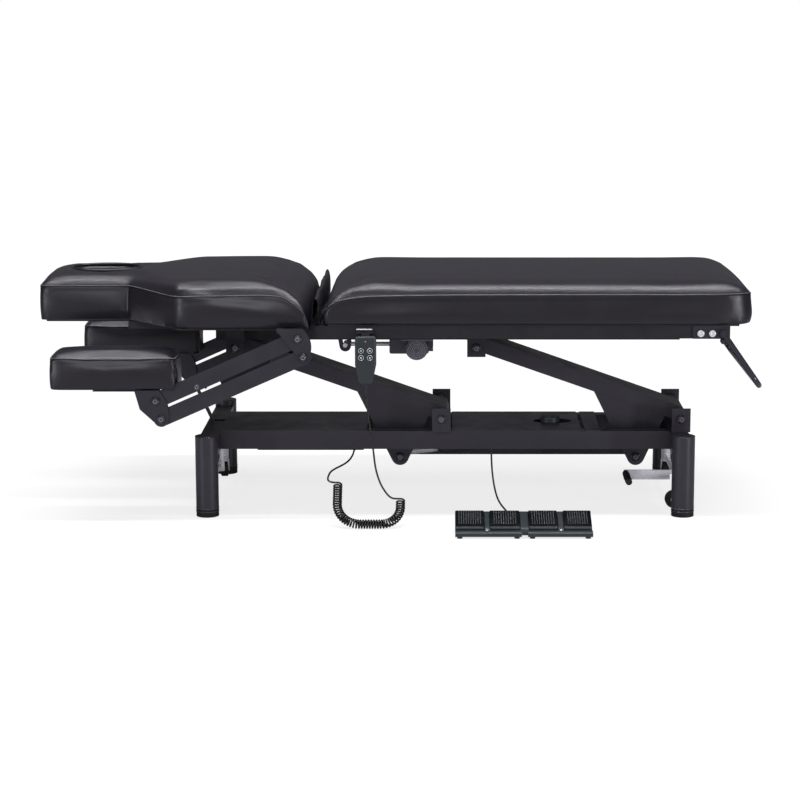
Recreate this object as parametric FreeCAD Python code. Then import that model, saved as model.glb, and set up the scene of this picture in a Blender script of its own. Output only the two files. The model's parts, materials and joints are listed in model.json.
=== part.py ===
import FreeCAD
import Part
import math
import os
from FreeCAD import Vector

# Electric chiropractic table: a parallelogram lift, a raising backrest with a face hole,
# two hanging armrests, a roll bar, retractable casters, a handset and a floor pedal.
# X runs from the head end to the foot end, Y from the near side to the far side and
# Z up from the floor. The origin is on the floor, in the middle of the four legs.
# All sizes are millimetres, and names that end in ANGLE are degrees.

# Fits shared by the whole table
RUNNING = 0.05
SEAT = 0.3
WELD_GAP = 0.1
OVERRUN = 5.0
SHEET = 3.0
TUBE_WALL = 2.0

# Base frame
LEG_SPACING_X = 1280.0
LEG_SPACING_Y = 550.0
LEG_RADIUS = 30.5
LEG_WALL = 2.5
LEG_TOP = 214.0
CAP_THICKNESS = 5.0
CAP_CHAMFER = 1.5
FOOT_HEIGHT = 21.0
FOOT_GROOVE_DEPTH = 1.6
FOOT_GROOVE_WIDTH = 3.0
FOOT_GROOVE_PITCH = 8.0
BEAM_BOTTOM = 155.0
BEAM_TOP = 205.0
CROSS_TUBE_WIDTH = 50.0
RAIL_WIDTH = 40.0
RAIL_OUTER_Y = 141.0
COVER_THICKNESS = 2.0
HEAD_COVER_END = -215.0
MIDDLE_COVER_START = 20.0
MIDDLE_COVER_END = 374.0
OVAL_CENTRE = 300.0
OVAL_HALF_LENGTH = 54.0
OVAL_HALF_WIDTH = 36.0
STRAP_START = 384.0
STRAP_END = 426.0

# Pivot brackets on the base, and the pins that the two lift arms turn on
PIVOT_HEIGHT = 241.0
HEAD_PIVOT_X = -10.0
FOOT_PIVOT_X = 645.0
EAR_OUTER_Y = 157.0
EAR_THICKNESS = 6.0
EAR_WIDTH = 51.0
EAR_TOP = 270.0
EAR_FLANGE = 45.0
PIN_RADIUS = 10.0
PIN_HEAD_RADIUS = 9.0
PIN_HEAD = 5.0

# Lift arms: channels with bell-crank gussets under their lower ends
ARM_RUN = 560.0
ARM_RISE = 196.5
ARM_HALF_WIDTH = 65.0
ARM_HALF_HEIGHT = 20.0
ARM_TUBE_RADIUS = 18.0
ARM_TUBE_HALF = 149.0
GUSSET_REACH = 240.0
GUSSET_HEEL = 31.0
GUSSET_THICKNESS = 6.0
LUG_ALONG = 67.5
LUG_DROP = 155.0
LUG_RADIUS = 24.0
CRANK_PIN_RADIUS = 6.0
CRANK_HEAD_RADIUS = 10.0
TIE_Y = 45.0
TIE_THICKNESS = 14.0
TIE_HALF_HEIGHT = 14.0

# Lift actuator, lying in the beam
LIFT_REAR_X = 388.0
LIFT_REAR_Z = 180.0
LIFT_TONGUE = 45.0
LIFT_TONGUE_HALF = 8.0
LIFT_TONGUE_RADIUS = 12.0
LIFT_GEARBOX_END = 118.0
LIFT_GEARBOX_HALF = 24.0
LIFT_TUBE_END = 400.0
LIFT_TUBE_RADIUS = 20.0
LIFT_NOSE = 12.0
LIFT_ROD_RADIUS = 10.0
LIFT_ROD_START = 150.0
LIFT_EYE_RADIUS = 15.0
LIFT_EYE_HALF = 11.0
LIFT_EYE_PLAY = 2.2
LIFT_EYE_SHIFT = 1.0
LIFT_MOTOR_X = 294.0
LIFT_MOTOR_RADIUS = 27.0
LIFT_MOTOR_TOP = 222.0
CLEVIS_PLATE = 5.0
CLEVIS_HALF_LENGTH = 18.0

# Control box and cable glands
BOX_START = -520.0
BOX_END = -225.0
BOX_HALF_WIDTH = 82.0
BOX_BOTTOM = 140.0
BOX_TOP = 198.0
BOX_EDGE = 6.0
GLAND_RADIUS = 6.0
GLAND_LENGTH = 10.0

# Carrier frame, which the two arms lift
CARRIER_BOTTOM = 456.0
CARRIER_TOP = 486.0
CARRIER_START = -625.0
CARRIER_END = 640.0
CARRIER_INNER_Y = 85.0
CARRIER_OUTER_Y = 125.0
UPPER_PLATE_BOTTOM = 413.0
UPPER_BAR_HALF = 25.0

# Leg section
LEG_FRAME_START = -344.0
LEG_FRAME_END = 754.0
LEG_FRAME_TOP = 520.0
LEG_FRAME_RAIL = 25.0
LEG_BAR_CENTRES = (-235.0, 250.0, 715.0)
LEG_BAR_WIDTH = 40.0
LEG_BOARD_THICKNESS = 8.0
LEG_BOARD_START = -310.0
LEG_BOARD_END = 778.0
LEG_CUSHION_START = -330.0
LEG_CUSHION_END = 820.0
CUSHION_HALF_WIDTH = 325.0
LEG_FRAME_OUTER_Y = CUSHION_HALF_WIDTH - 25.0
BOARD_HALF_WIDTH = CUSHION_HALF_WIDTH - 20.0
CUSHION_CROWN = 640.0

# Hinge of the backrest
HINGE_X = -335.0
HINGE_Z = 500.0
HINGE_PIN_RADIUS = 8.0
HINGE_EYE_RADIUS = 14.0
HINGE_LUG_Y = 200.0
HINGE_LUG_THICKNESS = 8.0
HINGE_LUG_HALF_HEIGHT = 9.0

# Backrest
BACK_FRAME_BOTTOM = 489.0
BACK_FRAME_TOP = 509.0
BACK_FRAME_START = -860.0
BACK_RAIL_INNER_Y = 105.0
BACK_RAIL_WIDTH = 40.0
BACK_BAR_X = -430.0
BACK_BAR_WIDTH = 40.0
HEAD_BAR_X = -740.0
BACK_CUSHION_BOTTOM = 517.0
HEAD_END = -1100.0
HEAD_HALF_WIDTH = 158.0
NECK_X = -854.0
SHOULDER_X = -709.0
FACE_HOLE_X = -936.0
FACE_HOLE_HALF_LENGTH = 87.0
FACE_HOLE_HALF_WIDTH = 65.0
BUMPER_X = -560.0
BUMPER_RADIUS = 14.0

# Backrest actuator and the slotted cranks that it pushes
BACK_ROD_Z = 425.0
BACK_ROD_RADIUS = 6.0
BACK_PIN_X = -277.0
BACK_PIN_RADIUS = 6.0
BACK_PIN_HALF = 30.0
SLOT_ANGLE = 10.0
SLOT_PLAY = 1.4
SLOT_NEAR = 59.0
SLOT_FAR = 85.5
CRANK_Y = 20.0
CRANK_THICKNESS = 6.0
CRANK_RIM = 16.0
BACK_GEARBOX_START = -154.0
BACK_GEARBOX_END = -45.0
BACK_GEARBOX_HALF_HEIGHT = 22.0
BACK_GEARBOX_HALF_WIDTH = 38.0
BACK_MOTOR_X = -78.0
BACK_MOTOR_RADIUS = 31.0
BACK_MOTOR_NEAR_Y = -96.0
SADDLE_Y = 40.0
SADDLE_THICKNESS = 4.0
SADDLE_START = -120.0
SADDLE_END = -33.0
SADDLE_BOTTOM = 411.0

# Armrests: parallel links between a plate on the backrest and a plate under the pad
LINK_UPPER_X = -387.8
LINK_UPPER_Z = 491.5
LINK_LENGTH = 411.6
LINK_ANGLE = 23.7
LINK_PIN_DX = 14.3
LINK_PIN_DZ = -48.2
LINK_HALF_HEIGHT = 21.0
LINK_THICKNESS = 8.0
LINK_PIN_RADIUS = 5.0
LINK_HEAD_RADIUS = 10.0
LINK_HEAD = 4.0
ARM_PLATE = 5.0
ARM_INNER_Y = CUSHION_HALF_WIDTH + 6.0
ARM_PLAY = 0.5
LINK_STOP_ALONG = 136.0
LINK_STOP_RADIUS = 3.0
LINK_STOP_DROP = 2.0
PAD_START = -1044.0
PAD_END = -706.5
PAD_NEAR_Y = CUSHION_HALF_WIDTH + 42.0
PAD_FAR_Y = CUSHION_HALF_WIDTH - 108.0
PAD_BOTTOM = 355.0
PAD_CROWN = 460.0
PAD_FLANGE_WIDTH = 60.0
PAD_FLANGE_THICKNESS = 3.0
ARM_SWINGS = (-6.0, 0.0, 6.0, 11.0, 16.0)
PAD_SLOT_MARGIN = 2.0
PAD_SLOT_TOP = 412.0
PAD_SLOT_START = -800.0

# Roll bar at the foot end
ROLL_PIVOT_X = 736.0
ROLL_PIVOT_Z = 501.0
ROLL_TIP_X = 836.0
ROLL_TIP_Z = 358.0
ROLL_Y = CUSHION_HALF_WIDTH - 10.0
ROLL_RADIUS = 7.5
ROLL_BEND = 32.0
ROLL_PLATE_START = 656.0
ROLL_PLATE_THICKNESS = 6.0
ROLL_PIN_RADIUS = 5.0
ROLL_STOP_RADIUS = 6.0
ROLL_BOLT_X = (676.0, 707.0)
ROLL_BOLT_RADIUS = 9.3

# Retractable casters
CASTER_Y = 195.0
WHEEL_RADIUS = 24.0
WHEEL_WIDTH = 20.0
WHEEL_LIFT = 3.0
WHEEL_ROUND = 3.0
CASTER_TRAIL = 16.0
AXLE_RADIUS = 4.0
FORK_PLATE = 2.5
FORK_TOP = 57.5
FORK_TOP_THICKNESS = 5.0
FORK_TOP_RADIUS = 15.0
FORK_GAP = 1.0
FORK_CHEEK = 9.0
STEM_RADIUS = 5.0
STEM_TOP = 84.0
PLUNGER_RADIUS = 13.0
PLUNGER_BOTTOM = 58.0
PLUNGER_TOP = 150.0
SLEEVE_RADIUS = 17.0
SLEEVE_BOTTOM = 104.0
BRIDGE_RADIUS = 6.0
BRIDGE_HEIGHT = 66.0
SWIVEL_ANGLES = {"near_head": -65.0, "near_foot": 180.0, "far_head": 90.0, "far_foot": 90.0}

# Foot end caster lever, and its grip
LEVER_HINGE_X = 674.0
LEVER_END_X = 497.0
LEVER_BOTTOM = 55.0
LEVER_HEIGHT = 27.0
LEVER_Y = -73.0
LEVER_THICKNESS = 6.0
LEVER_NOTCH_HALF = 15.0
LEVER_PIN_RADIUS = 5.0
LEVER_RIM = 13.5
LEVER_BRACKET = 4.0
LEVER_BRACKET_GAP = 1.0
GRIP_RADIUS = 8.5
GRIP_LENGTH = 114.0
GRIP_HEIGHT = 73.0

# Head end caster lever, which turns a nose over a post on the carriage
TOE_HINGE_Z = 180.0
TOE_LEAN_ANGLE = 25.0
TOE_TOP = 288.0
TOE_THICKNESS = 6.0
TOE_Y = 6.0
TOE_WIDTH = 24.0
TOE_HUB_RADIUS = 8.0
TOE_NOSE_REACH = 14.0
TOE_NOSE_ANGLE = 30.0
TOE_NOSE_RADIUS = 8.0
TOE_NOSE_WEB = 3.0
POST_OUTSET = 1.6
TOE_PIN_RADIUS = 5.0
TOE_BEARING = 4.0
TOE_SLOT_OUTER = 16.0
TOE_SLOT_INNER = 22.0
POST_RADIUS = 5.0
POST_HOLE_PLAY = 1.5

# Handset and its holder
HANDSET_X = -210.0
HANDSET_BOTTOM = 367.0
HANDSET_TOP = 497.0
HANDSET_HALF_WIDTH = 28.0
HANDSET_NECK_HALF = 17.0
HANDSET_WAIST_Z = 392.0
HANDSET_BACK_Y = 13.0 - CUSHION_HALF_WIDTH
HANDSET_FRONT_Y = -11.0 - CUSHION_HALF_WIDTH
HANDSET_ROUND = 5.0
HOLDER_HALF_WIDTH = 21.0
HOLDER_TOP = 519.0
HOLDER_PLATE_Z = 503.0
HOLDER_THICKNESS = 3.0
BUTTON_RADIUS = 7.5
BUTTON_PROUD = 2.0
BUTTON_DEPTH = 4.0
BUTTON_PLAY = 0.3
BUTTON_COLUMN = 11.6
BUTTON_TOP_ROW = 459.0
BUTTON_ROW_PITCH = 19.0
BUTTON_ROWS = {"up": BUTTON_TOP_ROW, "down": BUTTON_TOP_ROW - BUTTON_ROW_PITCH}

# Foot pedal
PEDAL_START = 26.0
PEDAL_END = 382.0
PEDAL_FRONT_Y = -545.0
PEDAL_BACK_Y = -430.0
PEDAL_BASE_BOTTOM = 6.0
PEDAL_FRONT_TOP = 18.0
PEDAL_BACK_TOP = 33.0
PEDAL_FOOT_RADIUS = 7.0
PEDAL_FOOT_INSET = 12.0
PEDAL_HINGE_Y = -438.0
PEDAL_HINGE_Z = 43.2
PEDAL_PIN_RADIUS = 1.5
PEDAL_PADS = ((27.0, 101.0), (117.0, 194.0), (218.0, 292.0), (309.0, 381.0))
PAD_REAR_Y = -433.0
PAD_REAR_TOP = 50.0
PAD_FRONT_EDGE_Y = -517.0
PAD_FRONT_TOP = 27.0
PAD_THICKNESS = 9.0
PAD_NOSE = 3.0
DIVIDER_MARGIN = 2.0
DIVIDER_DROP = 3.0
PEDAL_LINK_START = 198.0
PEDAL_LINK_END = 214.0
PEDAL_LINK_INSET = 6.0

# Cords: a limp handset lead with a curly part, and the pedal's lead
LEAD_DIAMETER = 4.4
PEDAL_LEAD_DIAMETER = 5.0
COIL_RADIUS = 9.8
COIL_TURNS = 44
COIL_SIDES = 6
COIL_LEAN_ANGLE = 42.0
COIL_FLOOR_Y = -431.0
COIL_FLOOR_Z = 12.9
COIL_LEFT_X = -285.0
COIL_LEFT_TOP = 120.0
COIL_LEFT_BEND = 60.0
COIL_RIGHT_X = -118.0
COIL_RIGHT_TOP = 71.0
COIL_RIGHT_BEND = 50.0


# General shapes

def block(x0, x1, y0, y1, z0, z1):
    """A box between two corners."""
    return Part.makeBox(x1 - x0, y1 - y0, z1 - z0, Vector(x0, y0, z0))


def y_rod(x, z, y0, y1, radius):
    """A round bar along Y."""
    return Part.makeCylinder(radius, y1 - y0, Vector(x, y0, z), Vector(0, 1, 0))


def x_rod(x0, x1, y, z, radius):
    """A round bar along X."""
    return Part.makeCylinder(radius, x1 - x0, Vector(x0, y, z), Vector(1, 0, 0))


def z_rod(x, y, z0, z1, radius):
    """A round bar along Z."""
    return Part.makeCylinder(radius, z1 - z0, Vector(x, y, z0), Vector(0, 0, 1))


def rod_between(start, end, radius):
    """A round bar between two points."""
    along = end.sub(start)
    return Part.makeCylinder(radius, along.Length, start, along)


def plate_from_edges(edges, y0, y1):
    """A flat outline drawn at y0, made as thick as the gap from y0 to y1."""
    face = Part.Face(Part.Wire(edges))
    return face.extrude(Vector(0, y1 - y0, 0))


def polygon_plate(points, y0, y1):
    """A plate with straight edges from (x, z) corners."""
    corners = [Vector(x, y0, z) for x, z in points]
    face = Part.Face(Part.makePolygon(corners + corners[:1]))
    return face.extrude(Vector(0, y1 - y0, 0))


def round_bar_plate(a, b, radius, y0, y1):
    """A plate with two round ends, centred on the (x, z) points a and b."""
    run = Vector(b[0] - a[0], 0, b[1] - a[1])
    run.normalize()
    side = Vector(-run.z, 0, run.x)
    start = Vector(a[0], y0, a[1])
    end = Vector(b[0], y0, b[1])
    p1 = start.add(side * radius)
    p2 = end.add(side * radius)
    p3 = end.sub(side * radius)
    p4 = start.sub(side * radius)
    edges = [
        Part.LineSegment(p1, p2).toShape(),
        Part.Arc(p2, end.add(run * radius), p3).toShape(),
        Part.LineSegment(p3, p4).toShape(),
        Part.Arc(p4, start.sub(run * radius), p1).toShape(),
    ]
    return plate_from_edges(edges, y0, y1)


def x_tube(x0, x1, y0, y1, z0, z1):
    """A square tube along X, open at both ends."""
    wall = TUBE_WALL
    inner = block(x0 - OVERRUN, x1 + OVERRUN, y0 + wall, y1 - wall, z0 + wall, z1 - wall)
    return block(x0, x1, y0, y1, z0, z1).cut(inner)


def y_tube(x0, x1, y0, y1, z0, z1):
    """A square tube along Y, open at both ends."""
    wall = TUBE_WALL
    inner = block(x0 + wall, x1 - wall, y0 - OVERRUN, y1 + OVERRUN, z0 + wall, z1 - wall)
    return block(x0, x1, y0, y1, z0, z1).cut(inner)


def mirrored(shape):
    """The same shape on the other side of the table."""
    return shape.mirror(Vector(0, 0, 0), Vector(0, 1, 0))


def both_sides(shapes):
    """Shapes and their mirror images across the table's middle plane."""
    return list(shapes) + [mirrored(s) for s in shapes]


def fused(shapes):
    """One solid from shapes that are welded together."""
    whole = shapes[0].multiFuse(list(shapes[1:])) if len(shapes) > 1 else shapes[0]
    return whole.removeSplitter()


def save(name, shapes):
    """Write one node, as one solid or as a group of separate solids."""
    shapes = shapes if isinstance(shapes, (list, tuple)) else [shapes]
    solids = [solid for shape in shapes for solid in shape.Solids]
    whole = solids[0] if len(solids) == 1 else Part.makeCompound(solids)
    whole.exportStep("parts/" + name + ".step")
    print(name, len(solids), "solids", round(whole.Volume / 1000.0, 1), "cm3")


# Base

def corner_places():
    """The four places that legs stand on."""
    half_x = LEG_SPACING_X / 2
    half_y = LEG_SPACING_Y / 2
    return [(sx * half_x, sy * half_y) for sx in (-1, 1) for sy in (-1, 1)]


def make_legs():
    """Four round tubes with press-in caps."""
    shapes = []
    for x, y in corner_places():
        tube = z_rod(x, y, FOOT_HEIGHT, LEG_TOP, LEG_RADIUS)
        bore = z_rod(x, y, FOOT_HEIGHT - OVERRUN, LEG_TOP + OVERRUN, LEG_RADIUS - LEG_WALL)
        cap = z_rod(x, y, LEG_TOP, LEG_TOP + CAP_THICKNESS, LEG_RADIUS)
        rim = [e for e in cap.Edges if abs(e.BoundBox.ZMin - LEG_TOP - CAP_THICKNESS) < WELD_GAP]
        shapes.append(tube.cut(bore))
        shapes.append(cap.makeChamfer(CAP_CHAMFER, rim))
    return shapes


def make_feet():
    """Levelling feet: rubber rings with two grooves under the legs."""
    shapes = []
    for x, y in corner_places():
        foot = z_rod(x, y, 0, FOOT_HEIGHT, LEG_RADIUS)
        for turn in (1, 2):
            low = turn * FOOT_GROOVE_PITCH - FOOT_GROOVE_WIDTH
            ring = z_rod(x, y, low, low + FOOT_GROOVE_WIDTH, LEG_RADIUS + OVERRUN)
            core = z_rod(x, y, low, low + FOOT_GROOVE_WIDTH, LEG_RADIUS - FOOT_GROOVE_DEPTH)
            foot = foot.cut(ring.cut(core))
        shapes.append(foot)
    return shapes


def make_cross_tube(end):
    """The square tube between two legs at one end, with the toe lever's slot at the head end."""
    x = end * LEG_SPACING_X / 2
    half = CROSS_TUBE_WIDTH / 2
    reach = LEG_SPACING_Y / 2
    tube = y_tube(x - half, x + half, -reach, reach, BEAM_BOTTOM, BEAM_TOP)
    for side in (-1, 1):
        tube = tube.cut(z_rod(x, side * reach, 0, LEG_TOP, LEG_RADIUS + WELD_GAP))
    if end < 0:
        slot_end = TOE_Y + TOE_WIDTH + TOE_BEARING
        tube = tube.cut(block(x - TOE_SLOT_OUTER, x + TOE_SLOT_INNER, TOE_Y - ARM_PLAY,
                              slot_end - TOE_BEARING + ARM_PLAY, TOE_HINGE_Z, BEAM_TOP + OVERRUN))
        hole = POST_RADIUS + POST_HOLE_PLAY
        tube = tube.cut(z_rod(post_x(), post_y(), BEAM_BOTTOM - OVERRUN, TOE_HINGE_Z, hole))
    return tube


def toe_x():
    """Where the head end lever turns."""
    return -LEG_SPACING_X / 2


def post_x():
    """The post stands under the nose of the head end lever."""
    return toe_x() + TOE_NOSE_REACH * math.cos(math.radians(TOE_NOSE_ANGLE)) + POST_OUTSET


def post_y():
    """The middle of the head end lever's width."""
    return TOE_Y + TOE_WIDTH / 2


def make_toe_bearings():
    """Two plates inside the head end cross tube, and the lever's pin."""
    x = toe_x()
    half = CROSS_TUBE_WIDTH / 2 - TUBE_WALL
    low = BEAM_BOTTOM + TUBE_WALL
    high = BEAM_TOP - TUBE_WALL
    near = block(x - half, x + half, TOE_Y - ARM_PLAY - TOE_BEARING, TOE_Y - ARM_PLAY, low, high)
    far_y = TOE_Y + TOE_WIDTH + ARM_PLAY
    far = block(x - half, x + half, far_y, far_y + TOE_BEARING, low, high)
    pin = y_rod(x, TOE_HINGE_Z, TOE_Y - ARM_PLAY - TOE_BEARING, far_y + TOE_BEARING, TOE_PIN_RADIUS)
    return [near.cut(pin), far.cut(pin), pin]


def make_side_rails():
    """Two long tubes between the cross tubes."""
    end = LEG_SPACING_X / 2 - CROSS_TUBE_WIDTH / 2
    rail = x_tube(-end, end, RAIL_OUTER_Y - RAIL_WIDTH, RAIL_OUTER_Y, BEAM_BOTTOM, BEAM_TOP)
    return both_sides([rail])


def make_ear(pivot_x):
    """An angle bracket that holds one end of a lift arm's pin."""
    left = pivot_x - EAR_WIDTH / 2
    right = pivot_x + EAR_WIDTH / 2
    inner = EAR_OUTER_Y - EAR_THICKNESS
    wall = block(left, right, inner, EAR_OUTER_Y, BEAM_TOP, EAR_TOP)
    foot = block(left, right, EAR_OUTER_Y - EAR_FLANGE, EAR_OUTER_Y, BEAM_TOP, BEAM_TOP + EAR_THICKNESS)
    bore = y_rod(pivot_x, PIVOT_HEIGHT, inner - OVERRUN, EAR_OUTER_Y + OVERRUN, PIN_RADIUS + RUNNING)
    return fused([wall, foot]).cut(bore)


def make_headed_pin(x, z, half, radius, head_radius, head):
    """A pin along Y with a round bolt head at each end."""
    shaft = y_rod(x, z, -half, half, radius)
    near = y_rod(x, z, -half - head, -half, head_radius)
    far = y_rod(x, z, half, half + head, head_radius)
    return fused([shaft, near, far])


def make_base_pins():
    """The two pins that the arms turn on."""
    return [make_headed_pin(x, PIVOT_HEIGHT, EAR_OUTER_Y, PIN_RADIUS, PIN_HEAD_RADIUS + SHEET, PIN_HEAD)
            for x in (HEAD_PIVOT_X, FOOT_PIVOT_X)]


def make_caster_sleeves():
    """Four guide tubes under the cross tubes, and the foot end lever's bracket."""
    shapes = []
    for end in (-1, 1):
        for side in (-1, 1):
            x = end * LEG_SPACING_X / 2
            y = side * CASTER_Y
            outer = z_rod(x, y, SLEEVE_BOTTOM, BEAM_BOTTOM, SLEEVE_RADIUS)
            bore = z_rod(x, y, SLEEVE_BOTTOM - OVERRUN, BEAM_BOTTOM - SHEET / 2, PLUNGER_RADIUS + RUNNING)
            shapes.append(outer.cut(bore))
    return shapes + make_lever_bracket()


def make_lever_bracket():
    """Two hanging plates and the pin that the foot end lever turns on."""
    tube_end = LEG_SPACING_X / 2 + CROSS_TUBE_WIDTH / 2
    left_top = tube_end - LEVER_RIM
    foot = round_bar_plate((LEVER_HINGE_X, BRIDGE_HEIGHT), (LEVER_HINGE_X, BRIDGE_HEIGHT + LEVER_RIM),
                           LEVER_RIM, 0, LEVER_BRACKET)
    web = polygon_plate([(left_top, BEAM_BOTTOM), (tube_end, BEAM_BOTTOM),
                         (LEVER_HINGE_X + LEVER_RIM, BRIDGE_HEIGHT + LEVER_RIM),
                         (LEVER_HINGE_X - LEVER_RIM, BRIDGE_HEIGHT + LEVER_RIM)], 0, LEVER_BRACKET)
    plate = fused([foot, web])
    gap = LEVER_THICKNESS / 2 + LEVER_BRACKET_GAP
    near = plate.translated(Vector(0, LEVER_Y - gap - LEVER_BRACKET, 0))
    far = plate.translated(Vector(0, LEVER_Y + gap, 0))
    reach = gap + LEVER_BRACKET
    pin = y_rod(LEVER_HINGE_X, BRIDGE_HEIGHT, LEVER_Y - reach, LEVER_Y + reach, LEVER_PIN_RADIUS)
    return [near.cut(pin), far.cut(pin), pin]


def make_lift_clevis():
    """Two plates under the strap, and the pin that carries the lift actuator's rear end."""
    low = LIFT_REAR_Z - LIFT_TONGUE_RADIUS
    inner = LIFT_TONGUE_HALF + LEVER_BRACKET_GAP
    plate = block(LIFT_REAR_X - CLEVIS_HALF_LENGTH, LIFT_REAR_X + CLEVIS_HALF_LENGTH,
                  inner, inner + CLEVIS_PLATE, low, BEAM_TOP)
    pin = y_rod(LIFT_REAR_X, LIFT_REAR_Z, -inner - CLEVIS_PLATE, inner + CLEVIS_PLATE, CRANK_PIN_RADIUS)
    return [s.cut(pin) for s in both_sides([plate])] + [pin]


def make_base_frame():
    """All that is welded into the base: tubes, rails, pivot brackets, sleeves and clevis."""
    shapes = [make_cross_tube(-1), make_cross_tube(1)] + make_side_rails()
    for pivot_x in (HEAD_PIVOT_X, FOOT_PIVOT_X):
        shapes += both_sides([make_ear(pivot_x)])
    return shapes + make_caster_sleeves() + make_toe_bearings() + make_lift_clevis()


def make_covers():
    """Plates over the beam: head end, middle with the motor's oval opening, and strap."""
    start = -LEG_SPACING_X / 2 + CROSS_TUBE_WIDTH / 2
    top = BEAM_TOP + COVER_THICKNESS
    head = block(start, HEAD_COVER_END, -RAIL_OUTER_Y, RAIL_OUTER_Y, BEAM_TOP, top)
    middle = block(MIDDLE_COVER_START, MIDDLE_COVER_END, -RAIL_OUTER_Y, RAIL_OUTER_Y, BEAM_TOP, top)
    ellipse = Part.Ellipse(Vector(OVAL_CENTRE, 0, BEAM_TOP - OVERRUN), OVAL_HALF_LENGTH, OVAL_HALF_WIDTH)
    oval = Part.Face(Part.Wire([ellipse.toShape()])).extrude(Vector(0, 0, OVERRUN * 3))
    strap = block(STRAP_START, STRAP_END, -RAIL_OUTER_Y, RAIL_OUTER_Y, BEAM_TOP, top)
    return [head, middle.cut(oval), strap]


def make_control_box():
    """The drive's control box under the head end cover, with the handset lead's gland."""
    box = block(BOX_START, BOX_END, -BOX_HALF_WIDTH, BOX_HALF_WIDTH, BOX_BOTTOM, BOX_TOP)
    box = box.makeFillet(BOX_EDGE, [e for e in box.Edges if e.BoundBox.ZLength > BOX_EDGE])
    end = HANDSET_LEAD_BASE[0]
    gland = y_rod(end[0], end[2], end[1], -BOX_HALF_WIDTH + BOX_EDGE, GLAND_RADIUS)
    hanger = block(BOX_START + BOX_EDGE, BOX_END - BOX_EDGE, -BOX_HALF_WIDTH + BOX_EDGE,
                   BOX_HALF_WIDTH - BOX_EDGE, BOX_TOP, BEAM_TOP)
    return fused([box, gland, hanger])


def make_pedal_gland():
    """The strain relief in which the pedal's lead leaves the near rail's inner face."""
    top = PEDAL_LEAD[0]
    inner = -RAIL_OUTER_Y + RAIL_WIDTH
    return block(top[0] - GLAND_RADIUS, top[0] + GLAND_RADIUS, inner, top[1] + GLAND_RADIUS,
                 top[2], top[2] + GLAND_LENGTH)


# Lift

def arm_axes():
    """Unit vectors along an arm, from its lower to its upper pivot, and square to it."""
    length = math.hypot(ARM_RUN, ARM_RISE)
    return (-ARM_RUN / length, ARM_RISE / length), (ARM_RISE / length, ARM_RUN / length), length


def arm_point(pivot_x, along, across):
    """A place on an arm, by its distance from the lower pivot."""
    (ux, uz), (nx, nz), _ = arm_axes()
    return (pivot_x + ux * along + nx * across, PIVOT_HEIGHT + uz * along + nz * across)


def upper_pivot(pivot_x):
    """Where an arm carries the top frame."""
    return (pivot_x - ARM_RUN, PIVOT_HEIGHT + ARM_RISE)


def crank_point(pivot_x):
    """Where the tie bar, and at the head end the actuator, meets an arm."""
    return arm_point(pivot_x, LUG_ALONG, -LUG_DROP)


def tangent_point(corner, centre, radius, side):
    """Where a line from a corner touches a circle, on the chosen side."""
    dx = centre[0] - corner[0]
    dz = centre[1] - corner[1]
    far = math.hypot(dx, dz)
    angle = math.atan2(dz, dx) + side * math.asin(radius / far)
    reach = math.sqrt(far * far - radius * radius)
    return (corner[0] + reach * math.cos(angle), corner[1] + reach * math.sin(angle))


def make_gusset(pivot_x):
    """The bell-crank plate under an arm's lower end, with a round lug at its tip."""
    lug = crank_point(pivot_x)
    toe = arm_point(pivot_x, GUSSET_REACH, -ARM_HALF_HEIGHT)
    heel = arm_point(pivot_x, GUSSET_HEEL, -ARM_HALF_HEIGHT)
    left = tangent_point(toe, lug, LUG_RADIUS, -1)
    right = tangent_point(heel, lug, LUG_RADIUS, 1)
    y0 = ARM_HALF_WIDTH - SHEET - GUSSET_THICKNESS
    y1 = ARM_HALF_WIDTH - SHEET
    middle = ((left[0] + right[0]) / 2, (left[1] + right[1]) / 2)
    drop = math.hypot(lug[0] - middle[0], lug[1] - middle[1])
    tip = (lug[0] + (middle[0] - lug[0]) / drop * LUG_RADIUS, lug[1] + (middle[1] - lug[1]) / drop * LUG_RADIUS)
    corners = [arm_point(pivot_x, GUSSET_REACH, 0), toe, left]
    others = [right, heel, arm_point(pivot_x, GUSSET_HEEL, 0)]
    first = [Vector(x, y0, z) for x, z in corners]
    last = [Vector(x, y0, z) for x, z in others]
    edges = [Part.LineSegment(a, b).toShape() for a, b in zip(first, first[1:])]
    edges.append(Part.Arc(first[-1], Vector(tip[0], y0, tip[1]), last[0]).toShape())
    edges += [Part.LineSegment(a, b).toShape() for a, b in zip(last, last[1:])]
    edges.append(Part.LineSegment(last[-1], first[0]).toShape())
    return plate_from_edges(edges, y0, y1)


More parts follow.
